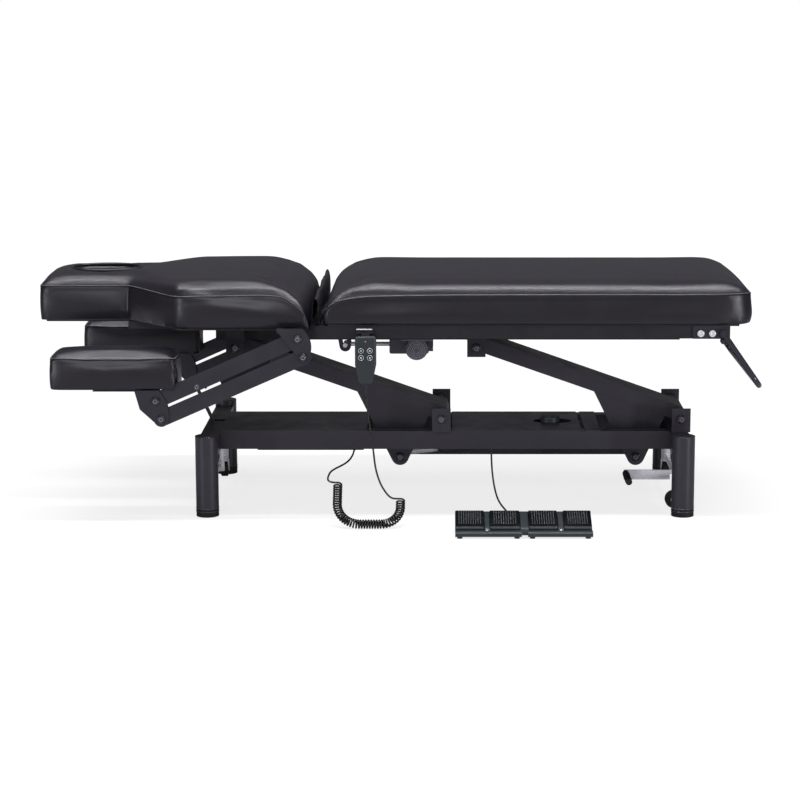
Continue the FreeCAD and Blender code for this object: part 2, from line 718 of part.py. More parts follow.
def make_arm(pivot_x):
    """A channel with round ends, its two pivot tubes and its pair of gussets, welded up."""
    lower = (pivot_x, PIVOT_HEIGHT)
    upper = upper_pivot(pivot_x)
    _, _, length = arm_axes()
    inside = ARM_HALF_HEIGHT - SHEET
    hull = round_bar_plate(lower, upper, ARM_HALF_HEIGHT, -ARM_HALF_WIDTH, ARM_HALF_WIDTH)
    core = round_bar_plate(lower, upper, inside, -ARM_HALF_WIDTH + SHEET, ARM_HALF_WIDTH - SHEET)
    below = [arm_point(pivot_x, -inside, 0), arm_point(pivot_x, length + inside, 0),
             arm_point(pivot_x, length + inside, -ARM_HALF_HEIGHT - OVERRUN),
             arm_point(pivot_x, -inside, -ARM_HALF_HEIGHT - OVERRUN)]
    mouth = polygon_plate(below, -ARM_HALF_WIDTH + SHEET, ARM_HALF_WIDTH - SHEET)
    parts = [hull.cut(core).cut(mouth)]
    parts += [y_rod(x, z, -ARM_TUBE_HALF, ARM_TUBE_HALF, ARM_TUBE_RADIUS) for x, z in (lower, upper)]
    parts += both_sides([make_gusset(pivot_x)])
    arm = fused(parts)
    reach = ARM_TUBE_HALF + OVERRUN
    for x, z in (lower, upper):
        arm = arm.cut(y_rod(x, z, -reach, reach, PIN_RADIUS + RUNNING))
    lug = crank_point(pivot_x)
    return arm.cut(y_rod(lug[0], lug[1], -reach, reach, CRANK_PIN_RADIUS))


def make_crank_pin(pivot_x):
    """The pin through the two lugs of an arm, with its bolt heads."""
    x, z = crank_point(pivot_x)
    return make_headed_pin(x, z, ARM_HALF_WIDTH - SHEET, CRANK_PIN_RADIUS, CRANK_HEAD_RADIUS, PIN_HEAD)


def make_tie_bar():
    """The flat bar that keeps the two arms parallel."""
    head = crank_point(HEAD_PIVOT_X)
    foot = crank_point(FOOT_PIVOT_X)
    y0 = TIE_Y - TIE_THICKNESS / 2
    y1 = TIE_Y + TIE_THICKNESS / 2
    bar = round_bar_plate(head, foot, TIE_HALF_HEIGHT, y0, y1)
    for x, z in (head, foot):
        bar = bar.cut(y_rod(x, z, y0 - OVERRUN, y1 + OVERRUN, CRANK_PIN_RADIUS + RUNNING))
    return bar


def actuator_axes():
    """Unit vectors along the lift actuator, from its rear pin to the crank pin."""
    x, z = crank_point(HEAD_PIVOT_X)
    length = math.hypot(x - LIFT_REAR_X, z - LIFT_REAR_Z)
    return ((x - LIFT_REAR_X) / length, (z - LIFT_REAR_Z) / length), length


def actuator_point(along, across=0.0):
    """A place on the lift actuator; across is square to it, upwards."""
    (ux, uz), _ = actuator_axes()
    return (LIFT_REAR_X + ux * along + uz * across, LIFT_REAR_Z + uz * along - ux * across)


def actuator_rod(start, end, radius):
    """A round bar on the lift actuator's axis."""
    a = actuator_point(start)
    b = actuator_point(end)
    return rod_between(Vector(a[0], 0, a[1]), Vector(b[0], 0, b[1]), radius)


def make_lift_motor():
    """The actuator's housing: tongue, gearbox, upright motor and outer tube."""
    tongue = round_bar_plate((LIFT_REAR_X, LIFT_REAR_Z), actuator_point(LIFT_TONGUE + OVERRUN),
                             LIFT_TONGUE_RADIUS, -LIFT_TONGUE_HALF, LIFT_TONGUE_HALF)
    half = LIFT_GEARBOX_HALF
    corners = [actuator_point(LIFT_TONGUE, -half), actuator_point(LIFT_GEARBOX_END, -half),
               actuator_point(LIFT_GEARBOX_END, half), actuator_point(LIFT_TONGUE, half)]
    gearbox = polygon_plate(corners, -half, half)
    motor = z_rod(LIFT_MOTOR_X, 0, LIFT_REAR_Z, LIFT_MOTOR_TOP, LIFT_MOTOR_RADIUS)
    top = [e for e in motor.Edges if abs(e.BoundBox.ZMin - LIFT_MOTOR_TOP) < WELD_GAP]
    motor = motor.makeFillet(LIFT_TONGUE_HALF / 2, top)
    tube = actuator_rod(LIFT_GEARBOX_END - OVERRUN, LIFT_TUBE_END, LIFT_TUBE_RADIUS)
    nose = actuator_rod(LIFT_TUBE_END, LIFT_TUBE_END + LIFT_NOSE, LIFT_TUBE_RADIUS - SHEET)
    body = fused([tongue, gearbox, motor, tube, nose])
    body = body.cut(actuator_rod(LIFT_ROD_START - OVERRUN, LIFT_TUBE_END + LIFT_NOSE + OVERRUN,
                                 LIFT_ROD_RADIUS + RUNNING))
    reach = LIFT_TONGUE_HALF + OVERRUN
    return body.cut(y_rod(LIFT_REAR_X, LIFT_REAR_Z, -reach, reach, CRANK_PIN_RADIUS + RUNNING))


def make_lift_rod():
    """The chromed rod and its eye, which has play on the crank pin."""
    _, length = actuator_axes()
    x, z = actuator_point(length + LIFT_EYE_SHIFT)
    eye = y_rod(x, z, -LIFT_EYE_HALF, LIFT_EYE_HALF, LIFT_EYE_RADIUS)
    rod = actuator_rod(LIFT_ROD_START, length - LIFT_EYE_RADIUS / 2, LIFT_ROD_RADIUS)
    reach = LIFT_EYE_HALF + OVERRUN
    return fused([eye, rod]).cut(y_rod(x, z, -reach, reach, CRANK_PIN_RADIUS + LIFT_EYE_PLAY))


# Top frame

def make_upper_plate(x, z):
    """A plate that hangs from the carrier and holds one end of an upper pin."""
    inner = EAR_OUTER_Y - EAR_THICKNESS
    plate = block(x - UPPER_BAR_HALF, x + UPPER_BAR_HALF, inner, EAR_OUTER_Y,
                  UPPER_PLATE_BOTTOM, CARRIER_TOP)
    return plate.cut(y_rod(x, z, inner - OVERRUN, EAR_OUTER_Y + OVERRUN, PIN_RADIUS + RUNNING))


def make_carrier_frame():
    """Two long tubes, the bars across them and the plates of the upper pivots."""
    rail = x_tube(CARRIER_START, CARRIER_END, CARRIER_INNER_Y, CARRIER_OUTER_Y, CARRIER_BOTTOM, CARRIER_TOP)
    shapes = both_sides([rail])
    for pivot_x in (HEAD_PIVOT_X, FOOT_PIVOT_X):
        x, z = upper_pivot(pivot_x)
        low = z + ARM_HALF_HEIGHT + ARM_PLAY
        shapes.append(y_tube(x - UPPER_BAR_HALF, x + UPPER_BAR_HALF, -CARRIER_INNER_Y, CARRIER_INNER_Y,
                             low, CARRIER_TOP))
        stub = y_tube(x - UPPER_BAR_HALF, x + UPPER_BAR_HALF, CARRIER_OUTER_Y,
                      EAR_OUTER_Y - EAR_THICKNESS, CARRIER_BOTTOM, CARRIER_TOP)
        shapes += both_sides([stub, make_upper_plate(x, z)])
    return shapes


def make_upper_pins():
    """The two upper pins, and the long hinge pin of the backrest."""
    shapes = []
    for pivot_x in (HEAD_PIVOT_X, FOOT_PIVOT_X):
        x, z = upper_pivot(pivot_x)
        shapes.append(make_headed_pin(x, z, EAR_OUTER_Y, PIN_RADIUS, PIN_HEAD_RADIUS + SHEET, PIN_HEAD))
    inner = LEG_FRAME_OUTER_Y - LEG_FRAME_RAIL
    shapes.append(y_rod(HINGE_X, HINGE_Z, -inner, inner, HINGE_PIN_RADIUS))
    return shapes


def make_leg_frame():
    """The leg section's tubes, and the rubber stops that the backrest lies on."""
    inner = LEG_FRAME_OUTER_Y - LEG_FRAME_RAIL
    rail = x_tube(LEG_FRAME_START, LEG_FRAME_END, inner, LEG_FRAME_OUTER_Y, CARRIER_TOP, LEG_FRAME_TOP)
    shapes = both_sides([rail])
    for x in LEG_BAR_CENTRES:
        shapes.append(y_tube(x - LEG_BAR_WIDTH / 2, x + LEG_BAR_WIDTH / 2, -inner, inner,
                             CARRIER_TOP, LEG_FRAME_TOP))
    stop_y = (CARRIER_INNER_Y + CARRIER_OUTER_Y) / 2 + SHEET * 2
    stop = z_rod(BUMPER_X, stop_y, CARRIER_TOP, BACK_FRAME_BOTTOM - SEAT, BUMPER_RADIUS)
    return shapes + both_sides([stop])


def make_leg_board():
    """The plywood board under the leg cushion."""
    return block(LEG_BOARD_START, LEG_BOARD_END, -BOARD_HALF_WIDTH, BOARD_HALF_WIDTH,
                 LEG_FRAME_TOP, LEG_FRAME_TOP + LEG_BOARD_THICKNESS)


def cushion_section(x, half_width, bottom, crown, draw, shoulder, rise):
    """One cross-section of a cushion: drawn-in sides, round shoulders and a crowned top."""
    seam = crown - rise - shoulder
    inset = half_width - draw
    mid = (bottom + seam) / 2
    top_half = half_width - shoulder
    bevel = shoulder * (1 - math.sqrt(0.5))
    p = [Vector(x, -inset, bottom), Vector(x, inset, bottom), Vector(x, half_width - draw / 2, seam),
         Vector(x, top_half, crown - rise), Vector(x, -top_half, crown - rise),
         Vector(x, -half_width + draw / 2, seam)]
    corner = half_width - draw / 2 - bevel
    high = crown - rise - bevel
    edges = [
        Part.LineSegment(p[0], p[1]).toShape(),
        Part.Arc(p[1], Vector(x, half_width, mid), p[2]).toShape(),
        Part.Arc(p[2], Vector(x, corner, high), p[3]).toShape(),
        Part.Arc(p[3], Vector(x, 0, crown), p[4]).toShape(),
        Part.Arc(p[4], Vector(x, -corner, high), p[5]).toShape(),
        Part.Arc(p[5], Vector(x, -half_width, mid), p[0]).toShape(),
    ]
    return Part.Wire(edges)


def cushion_loft(rows, bottom, draw, shoulder, rise):
    """A cushion through cross-sections, each a place along X, a half width and a crown height."""
    wires = []
    for x, half_width, crown in rows:
        share = (crown - bottom) / (CUSHION_CROWN - BACK_CUSHION_BOTTOM)
        wires.append(cushion_section(x, half_width, bottom, crown, draw * share, shoulder * share,
                                     rise * share))
    return Part.makeLoft(wires, True, True)


# Shares of a round end: how far in, and how much width and height are lost there
ROUND_END_SHARES = ((0.0, 1.0), (0.06, 0.62), (0.2, 0.34), (0.42, 0.13), (0.7, 0.03), (1.0, 0.0))
CUSHION_DRAW = 5.0
CUSHION_SHOULDER = 30.0
CUSHION_RISE = 9.0
FOOT_ROUND = 95.0
FOOT_NARROWING = 62.0
FOOT_DROP = (CUSHION_CROWN - LEG_FRAME_TOP - LEG_BOARD_THICKNESS) * 0.3
WATERFALL_LENGTH = 150.0
WATERFALL_DROP = (CUSHION_CROWN - LEG_FRAME_TOP - LEG_BOARD_THICKNESS) * 0.9
WATERFALL_NARROWING = 7.0


def make_leg_cushion():
    """The long cushion: waterfall end at the hinge, round corners at the foot end."""
    bottom = LEG_FRAME_TOP + LEG_BOARD_THICKNESS
    rows = []
    for along, lost in ROUND_END_SHARES:
        rows.append((LEG_CUSHION_START + along * WATERFALL_LENGTH,
                     CUSHION_HALF_WIDTH - lost * WATERFALL_NARROWING,
                     CUSHION_CROWN - lost * WATERFALL_DROP))
    for along, lost in reversed(ROUND_END_SHARES):
        rows.append((LEG_CUSHION_END - along * FOOT_ROUND, CUSHION_HALF_WIDTH - lost * FOOT_NARROWING,
                     CUSHION_CROWN - lost * FOOT_DROP))
    return cushion_loft(rows, bottom, CUSHION_DRAW, CUSHION_SHOULDER, CUSHION_RISE)


FLAP_THICKNESS = 3.0
FLAP_TOP = 600.0
FLAP_LEFT_X = -352.0
FLAP_RIGHT_X = -333.0
FLAP_TOP_X = -342.0
FLAP_BOTTOM = 521.8


def make_hinge_flap():
    """The folded strip of upholstery that stands in the gap over the hinge."""
    half = CUSHION_HALF_WIDTH - CUSHION_DRAW
    top = FLAP_TOP - FLAP_THICKNESS
    left = round_bar_plate((FLAP_LEFT_X, FLAP_BOTTOM), (FLAP_TOP_X, top), FLAP_THICKNESS / 2, -half, half)
    right = round_bar_plate((FLAP_RIGHT_X, FLAP_BOTTOM), (FLAP_TOP_X, top), FLAP_THICKNESS / 2, -half, half)
    return fused([left, right])


# Backrest

def hinge_line():
    """The slot's direction and the foot of its perpendicular from the hinge, at rest."""
    tilt = math.radians(SLOT_ANGLE)
    dx = BACK_PIN_X - HINGE_X
    dz = BACK_ROD_Z - HINGE_Z
    offset = dx * math.cos(tilt) + dz * math.sin(tilt)
    foot = (HINGE_X + offset * math.cos(tilt), HINGE_Z + offset * math.sin(tilt))
    return foot, (math.sin(tilt), -math.cos(tilt))


def slot_point(distance):
    """A place on the slot's middle line."""
    foot, (dx, dz) = hinge_line()
    return (foot[0] + dx * distance, foot[1] + dz * distance)


def make_back_cranks():
    """Slotted crank plates: the actuator's cross pin slides in their slots."""
    y0 = CRANK_Y
    y1 = CRANK_Y + CRANK_THICKNESS
    hinge = (HINGE_X, HINGE_Z)
    bar = (BACK_BAR_X + BACK_BAR_WIDTH + HINGE_LUG_HALF_HEIGHT, HINGE_Z - WELD_GAP)
    near = slot_point(SLOT_NEAR)
    far = slot_point(SLOT_FAR)
    plate = fused([round_bar_plate(hinge, near, CRANK_RIM, y0, y1), round_bar_plate(near, far, CRANK_RIM, y0, y1),
                   round_bar_plate(hinge, bar, HINGE_LUG_HALF_HEIGHT, y0, y1)])
    slot = round_bar_plate(near, far, BACK_PIN_RADIUS + SLOT_PLAY, y0 - OVERRUN, y1 + OVERRUN)
    bore = y_rod(HINGE_X, HINGE_Z, y0 - OVERRUN, y1 + OVERRUN, HINGE_PIN_RADIUS + RUNNING)
    return both_sides([plate.cut(slot).cut(bore)])


def make_hinge_lugs():
    """The backrest's outer hinge lugs."""
    y0 = HINGE_LUG_Y
    y1 = HINGE_LUG_Y + HINGE_LUG_THICKNESS
    bar = (BACK_BAR_X + BACK_BAR_WIDTH + HINGE_LUG_HALF_HEIGHT, HINGE_Z - WELD_GAP)
    lug = fused([y_rod(HINGE_X, HINGE_Z, y0, y1, HINGE_EYE_RADIUS),
                 round_bar_plate((HINGE_X, HINGE_Z), bar, HINGE_LUG_HALF_HEIGHT, y0, y1)])
    bore = y_rod(HINGE_X, HINGE_Z, y0 - OVERRUN, y1 + OVERRUN, HINGE_PIN_RADIUS + RUNNING)
    return both_sides([lug.cut(bore)])


def make_back_frame():
    """The backrest's tubes, hinge lugs and cranks."""
    outer = BACK_RAIL_INNER_Y + BACK_RAIL_WIDTH
    bar_end = BACK_BAR_X + BACK_BAR_WIDTH
    low = BACK_FRAME_BOTTOM
    high = BACK_FRAME_TOP
    rail = x_tube(BACK_FRAME_START, BACK_BAR_X, BACK_RAIL_INNER_Y, outer, low, high)
    shapes = both_sides([rail])
    shapes.append(y_tube(BACK_BAR_X, bar_end, -ARM_INNER_Y, ARM_INNER_Y, low, high))
    shapes.append(y_tube(HEAD_BAR_X - BACK_BAR_WIDTH / 2, HEAD_BAR_X + BACK_BAR_WIDTH / 2,
                         -BACK_RAIL_INNER_Y, BACK_RAIL_INNER_Y, low, high))
    return shapes + make_hinge_lugs() + make_back_cranks()


def back_outline():
    """Half widths of the backrest along X, from the head's end to the hinge."""
    return ((HEAD_END, HEAD_HALF_WIDTH), (NECK_X, HEAD_HALF_WIDTH), (SHOULDER_X, CUSHION_HALF_WIDTH))


BACK_BOARD_INSET = 18.0
BACK_BOARD_END = -362.0


def make_back_board():
    """The board under the backrest cushion, cut to its outline, with the face hole."""
    inset = BACK_BOARD_INSET
    half = [(x + (inset if i == 0 else 0), w - inset) for i, (x, w) in enumerate(back_outline())]
    half.append((BACK_BOARD_END, CUSHION_HALF_WIDTH - inset))
    points = [Vector(x, -w, BACK_FRAME_TOP) for x, w in half]
    points += [Vector(x, w, BACK_FRAME_TOP) for x, w in reversed(half)]
    face = Part.Face(Part.makePolygon(points + points[:1]))
    board = face.extrude(Vector(0, 0, BACK_CUSHION_BOTTOM - BACK_FRAME_TOP))
    return board.cut(face_hole(SHEET))


def face_hole(margin):
    """An upright oval column where the face hole goes."""
    ellipse = Part.Ellipse(Vector(FACE_HOLE_X, 0, BACK_FRAME_TOP - OVERRUN),
                           FACE_HOLE_HALF_LENGTH + margin, FACE_HOLE_HALF_WIDTH + margin)
    height = CUSHION_CROWN - BACK_FRAME_TOP + OVERRUN * 2
    return Part.Face(Part.Wire([ellipse.toShape()])).extrude(Vector(0, 0, height))


HEAD_CROWN = CUSHION_CROWN - (CUSHION_CROWN - BACK_CUSHION_BOTTOM) * 0.05
HEAD_ROUND = 40.0
HEAD_NARROWING = 12.0
HEAD_DROP = (CUSHION_CROWN - BACK_CUSHION_BOTTOM) * 0.21
NECK_ROUND = 22.0
BACK_CROWN_X = -600.0
BACK_WATERFALL_LENGTH = 135.0
BACK_WATERFALL_DROP = (CUSHION_CROWN - BACK_CUSHION_BOTTOM) * 0.93
BACK_CUSHION_END = -357.0


def make_back_cushion():
    """The backrest cushion: narrow head part, flared shoulders, a crown and a waterfall end."""
    rows = []
    for along, lost in ROUND_END_SHARES:
        rows.append((HEAD_END + along * HEAD_ROUND, HEAD_HALF_WIDTH - lost * HEAD_NARROWING,
                     HEAD_CROWN - lost * HEAD_DROP))
    rows.append((NECK_X - NECK_ROUND, HEAD_HALF_WIDTH, HEAD_CROWN))
    flare = CUSHION_HALF_WIDTH - HEAD_HALF_WIDTH
    length = SHOULDER_X - NECK_X
    rise = CUSHION_CROWN - HEAD_CROWN
    for along, wide, high in ((0.0, 0.03, 0.05), (0.25, 0.24, 0.2), (0.5, 0.5, 0.38), (0.75, 0.76, 0.55),
                              (1.0, 0.97, 0.7)):
        rows.append((NECK_X + along * length, HEAD_HALF_WIDTH + wide * flare, HEAD_CROWN + high * rise))
    rows.append((SHOULDER_X + NECK_ROUND, CUSHION_HALF_WIDTH, HEAD_CROWN + 0.8 * rise))
    rows.append((BACK_CROWN_X, CUSHION_HALF_WIDTH, CUSHION_CROWN))
    for along, lost in reversed(ROUND_END_SHARES):
        rows.append((BACK_CUSHION_END - along * BACK_WATERFALL_LENGTH,
                     CUSHION_HALF_WIDTH - lost * WATERFALL_NARROWING,
                     CUSHION_CROWN - lost * BACK_WATERFALL_DROP))
    cushion = cushion_loft(rows, BACK_CUSHION_BOTTOM, CUSHION_DRAW, CUSHION_SHOULDER, CUSHION_RISE)
    return cushion.cut(face_hole(0))


def make_back_motor():
    """The backrest actuator's housing in its saddle under the carrier."""
    z = BACK_ROD_Z
    half = BACK_GEARBOX_HALF_HEIGHT
    gearbox = block(BACK_GEARBOX_START, BACK_GEARBOX_END, -BACK_GEARBOX_HALF_WIDTH, BACK_GEARBOX_HALF_WIDTH,
                    z - half, z + half)
    gearbox = gearbox.makeFillet(BOX_EDGE, [e for e in gearbox.Edges if e.BoundBox.YLength > half])
    gearbox = gearbox.cut(rod_between(Vector(BACK_GEARBOX_START - OVERRUN, 0, z),
                                      Vector(BACK_GEARBOX_END - OVERRUN, 0, z), BACK_ROD_RADIUS + RUNNING))
    near = -SADDLE_Y - SADDLE_THICKNESS
    motor = y_rod(BACK_MOTOR_X, z, BACK_MOTOR_NEAR_Y, near, BACK_MOTOR_RADIUS)
    rim = [e for e in motor.Edges if abs(e.BoundBox.YMax - BACK_MOTOR_NEAR_Y) < WELD_GAP]
    motor = motor.makeFillet(SHEET, rim)
    side = block(SADDLE_START, SADDLE_END, SADDLE_Y, SADDLE_Y + SADDLE_THICKNESS, SADDLE_BOTTOM, CARRIER_BOTTOM)
    roof = block(SADDLE_START, SADDLE_END, -CARRIER_OUTER_Y, CARRIER_OUTER_Y,
                 CARRIER_BOTTOM - SADDLE_THICKNESS, CARRIER_BOTTOM)
    saddle = fused([roof] + both_sides([side]))
    return [gearbox, motor, saddle]


def make_back_rod():
    """The actuator's thin rod and the cross pin that rides in the slots."""
    end = BACK_GEARBOX_END - OVERRUN * 2
    rod = rod_between(Vector(BACK_PIN_X, 0, BACK_ROD_Z), Vector(end, 0, BACK_ROD_Z), BACK_ROD_RADIUS)
    pin = y_rod(BACK_PIN_X, BACK_ROD_Z, -BACK_PIN_HALF, BACK_PIN_HALF, BACK_PIN_RADIUS)
    return fused([rod, pin])


# Armrests

def link_pins():
    """The four pin places of an armrest linkage: upper and lower pin at both ends."""
    angle = math.radians(LINK_ANGLE)
    dx = LINK_LENGTH * math.cos(angle)
    dz = LINK_LENGTH * math.sin(angle)
    top = (LINK_UPPER_X, LINK_UPPER_Z)
    low = (LINK_UPPER_X + LINK_PIN_DX, LINK_UPPER_Z + LINK_PIN_DZ)
    return top, low, (top[0] - dx, top[1] - dz), (low[0] - dx, low[1] - dz)


def link_layers():
    """Y places of an armrest's inner plate, link and outer plate."""
    inner = (ARM_INNER_Y, ARM_INNER_Y + ARM_PLATE)
    link = (inner[1] + ARM_PLAY, inner[1] + ARM_PLAY + LINK_THICKNESS)
    outer = (link[1] + ARM_PLAY, link[1] + ARM_PLAY + ARM_PLATE)
    return inner, link, outer


# Outline of the frame plate, in offsets from its upper pin, and of the pad plate likewise
FRAME_PLATE_TOP = 26.0
FRAME_PLATE_LEFT = 55.0
FRAME_PLATE_RIGHT = 11.0
FRAME_PLATE_BULGE_X = 35.0
FRAME_PLATE_BULGE_Z = 30.0
FRAME_PLATE_HEEL = 16.0
PAD_PLATE_LEFT = 55.0
PAD_PLATE_RIGHT = 10.0
PAD_PLATE_WAIST = 42.0
PAD_PLATE_WAIST_DROP = 22.0
PAD_PLATE_HEEL = 18.0
PAD_PLATE_BULGE_X = 33.0


def frame_plate_outline(y):
    """Edges of the plate on the backrest: straight back, bulged front, round heel."""
    top, low, _, _ = link_pins()
    a = Vector(top[0] - FRAME_PLATE_LEFT, y, top[1] + FRAME_PLATE_TOP)
    b = Vector(top[0] + FRAME_PLATE_RIGHT, y, top[1] + FRAME_PLATE_TOP)
    side = Vector(top[0] + FRAME_PLATE_BULGE_X, y, top[1] - FRAME_PLATE_BULGE_Z)
    c = Vector(low[0] + FRAME_PLATE_HEEL, y, low[1])
    heel = Vector(low[0] + FRAME_PLATE_HEEL * math.sqrt(0.5), y, low[1] - FRAME_PLATE_HEEL * math.sqrt(0.5))
    d = Vector(low[0], y, low[1] - FRAME_PLATE_HEEL)
    e = Vector(top[0] - FRAME_PLATE_LEFT + FRAME_PLATE_HEEL, y, top[1])
    return [Part.LineSegment(a, b).toShape(), Part.Arc(b, side, c).toShape(), Part.Arc(c, heel, d).toShape(),
            Part.LineSegment(d, e).toShape(), Part.LineSegment(e, a).toShape()]


def pad_plate_outline(y):
    """Edges of the plate under the pad: hollow back, round foot, bulged front."""
    _, _, top, low = link_pins()
    roof = PAD_BOTTOM - PAD_FLANGE_THICKNESS
    a = Vector(top[0] - PAD_PLATE_LEFT, y, roof)
    b = Vector(top[0] + PAD_PLATE_RIGHT, y, roof)
    side = Vector(top[0] + PAD_PLATE_BULGE_X, y, (top[1] + low[1]) / 2)
    heel = PAD_PLATE_HEEL
    c = Vector(low[0] + heel, y, low[1] - heel / 2)
    foot = Vector(low[0], y, low[1] - heel * 1.15)
    d = Vector(low[0] - heel, y, low[1] - heel / 2)
    e = Vector(top[0] - PAD_PLATE_WAIST, y, top[1] - PAD_PLATE_WAIST_DROP)
    return [Part.LineSegment(a, b).toShape(), Part.Arc(b, side, c).toShape(), Part.Arc(c, foot, d).toShape(),
            Part.LineSegment(d, e).toShape(), Part.LineSegment(e, a).toShape()]


def link_pin(x, z):
    """A bolt through both plates of an armrest bracket."""
    inner, _, outer = link_layers()
    shaft = y_rod(x, z, -outer[1], -inner[0], LINK_PIN_RADIUS)
    head = y_rod(x, z, -outer[1] - LINK_HEAD, -outer[1], LINK_HEAD_RADIUS)
    return fused([shaft, head])


def make_frame_plates():
    """Near side plates and bolts of the armrest on the backrest's bar."""
    inner, _, outer = link_layers()
    pins = [link_pin(x, z) for x, z in link_pins()[:2]]
    shapes = []
    for y0, y1 in ((-inner[1], -inner[0]), (-outer[1], -outer[0])):
        plate = plate_from_edges(frame_plate_outline(y0), y0, y1)
        for pin in pins:
            plate = plate.cut(pin)
        shapes.append(plate)
    spacer_x = link_pins()[0][0] - FRAME_PLATE_LEFT
    spacer = block(spacer_x, spacer_x + LINK_PIN_DX, -outer[0], -inner[1],
                   BACK_FRAME_TOP - SHEET, BACK_CUSHION_BOTTOM)
    return shapes + pins + [spacer]


def make_pad_bracket():
    """Near side plates, flange and bolts under the armrest pad."""
    inner, _, outer = link_layers()
    pins = [link_pin(x, z) for x, z in link_pins()[2:]]
    shapes = []
    for y0, y1 in ((-inner[1], -inner[0]), (-outer[1], -outer[0])):
        plate = plate_from_edges(pad_plate_outline(y0), y0, y1)
        for pin in pins:
            plate = plate.cut(pin)
        shapes.append(plate)
    top_x = link_pins()[2][0]
    roof = PAD_BOTTOM - PAD_FLANGE_THICKNESS
    flange = block(top_x - PAD_PLATE_LEFT * 3, top_x + PAD_PLATE_RIGHT, -outer[1], -inner[0] + PAD_FLANGE_WIDTH,
                   roof, PAD_BOTTOM)
    top = link_pins()[2]
    reach = LINK_HALF_HEIGHT + PAD_SLOT_MARGIN
    for lift in ARM_SWINGS:
        angle = math.radians(LINK_ANGLE + lift)
        end = (top[0] + LINK_LENGTH * math.cos(angle), top[1] + LINK_LENGTH * math.sin(angle))
        flange = flange.cut(round_bar_plate(top, end, reach, -outer[0], -inner[1]))
    return [flange] + shapes + pins


def make_link(start, end, with_stop):
    """One armrest link, with bores for its two bolts."""
    _, link, _ = link_layers()
    y0 = -link[1]
    y1 = -link[0]
    bar = round_bar_plate(start, end, LINK_HALF_HEIGHT, y0, y1)
    if with_stop:
        run = (end[0] - start[0]) / LINK_LENGTH, (end[1] - start[1]) / LINK_LENGTH
        drop = LINK_HALF_HEIGHT
        x = start[0] + run[0] * LINK_STOP_ALONG + run[1] * drop
        z = start[1] + run[1] * LINK_STOP_ALONG - run[0] * drop
        bar = fused([bar, y_rod(x, z, y0, y1, LINK_STOP_RADIUS)])
    for x, z in (start, end):
        bar = bar.cut(y_rod(x, z, y0 - OVERRUN, y1 + OVERRUN, LINK_PIN_RADIUS + RUNNING))
    return bar


PAD_ROUND = 34.0
PAD_NARROWING = 14.0
PAD_DROP = 30.0
PAD_SHOULDER = 22.0
PAD_RISE = 6.0


def make_pad():
    """The near armrest pad, with the slot that clears the links under its rear end."""
    rows = []
    half = (PAD_NEAR_Y - PAD_FAR_Y) / 2
    for along, lost in ROUND_END_SHARES:
        rows.append((PAD_START + along * PAD_ROUND, half - lost * PAD_NARROWING, PAD_CROWN - lost * PAD_DROP))
    for along, lost in reversed(ROUND_END_SHARES):
        rows.append((PAD_END - along * PAD_ROUND, half - lost * PAD_NARROWING, PAD_CROWN - lost * PAD_DROP))
    wires = [cushion_section(x, w, PAD_BOTTOM, crown, SHEET, PAD_SHOULDER, PAD_RISE) for x, w, crown in rows]
    pad = Part.makeLoft(wires, True, True).translated(Vector(0, -(PAD_NEAR_Y + PAD_FAR_Y) / 2, 0))
    inner, _, outer = link_layers()
    slot = block(PAD_SLOT_START, PAD_END + OVERRUN, -outer[1] - PAD_SLOT_MARGIN, -inner[0] + PAD_SLOT_MARGIN,
                 PAD_BOTTOM - OVERRUN, PAD_SLOT_TOP)
    floor = block(PAD_SLOT_START - OVERRUN, link_pins()[2][0] + PAD_PLATE_RIGHT, -PAD_NEAR_Y, -PAD_FAR_Y,
                  PAD_BOTTOM - OVERRUN, PAD_BOTTOM)
    return pad.cut(slot.cut(floor))


# Roll bar

def make_roll_bar():
    """The U-shaped bar: two arms, a cross bar and an eye at each pivot."""
    pivot = (ROLL_PIVOT_X, ROLL_PIVOT_Z)
    tip = (ROLL_TIP_X, ROLL_TIP_Z)
    length = math.hypot(tip[0] - pivot[0], tip[1] - pivot[1])
    run = Vector((tip[0] - pivot[0]) / length, 0, (tip[1] - pivot[1]) / length)
    near = Vector(pivot[0], -ROLL_Y, pivot[1])
    corner = Vector(tip[0], -ROLL_Y, tip[1])
    across = Vector(0, 1, 0)
    a = corner.sub(run * ROLL_BEND)
    b = corner.add(across * ROLL_BEND)
    middle = corner.sub(run * ROLL_BEND * (1 - math.sqrt(0.5))).add(across * ROLL_BEND * (1 - math.sqrt(0.5)))
    far = Vector(0, 2 * ROLL_Y, 0)
    c = Vector(b.x, -b.y, b.z)
    d = Vector(a.x, -a.y, a.z)
    far_middle = Vector(middle.x, -middle.y, middle.z)
    path = Part.Wire([
        Part.LineSegment(near, a).toShape(), Part.Arc(a, middle, b).toShape(),
        Part.LineSegment(b, c).toShape(), Part.Arc(c, far_middle, d).toShape(),
        Part.LineSegment(d, near.add(far)).toShape()])
    ring = Part.Wire([Part.Circle(near, run, ROLL_RADIUS).toShape()])
    bar = path.makePipeShell([ring], True, False)
    eye = y_rod(pivot[0], pivot[1], -ROLL_Y - ROLL_RADIUS, -ROLL_Y + ROLL_RADIUS, ROLL_RADIUS + SHEET)
    whole = fused([bar] + both_sides([eye]))
    for side in (-1, 1):
        y0 = side * ROLL_Y - ROLL_RADIUS - OVERRUN
        whole = whole.cut(y_rod(pivot[0], pivot[1], y0, y0 + 2 * (ROLL_RADIUS + OVERRUN), ROLL_PIN_RADIUS + RUNNING))
    return whole


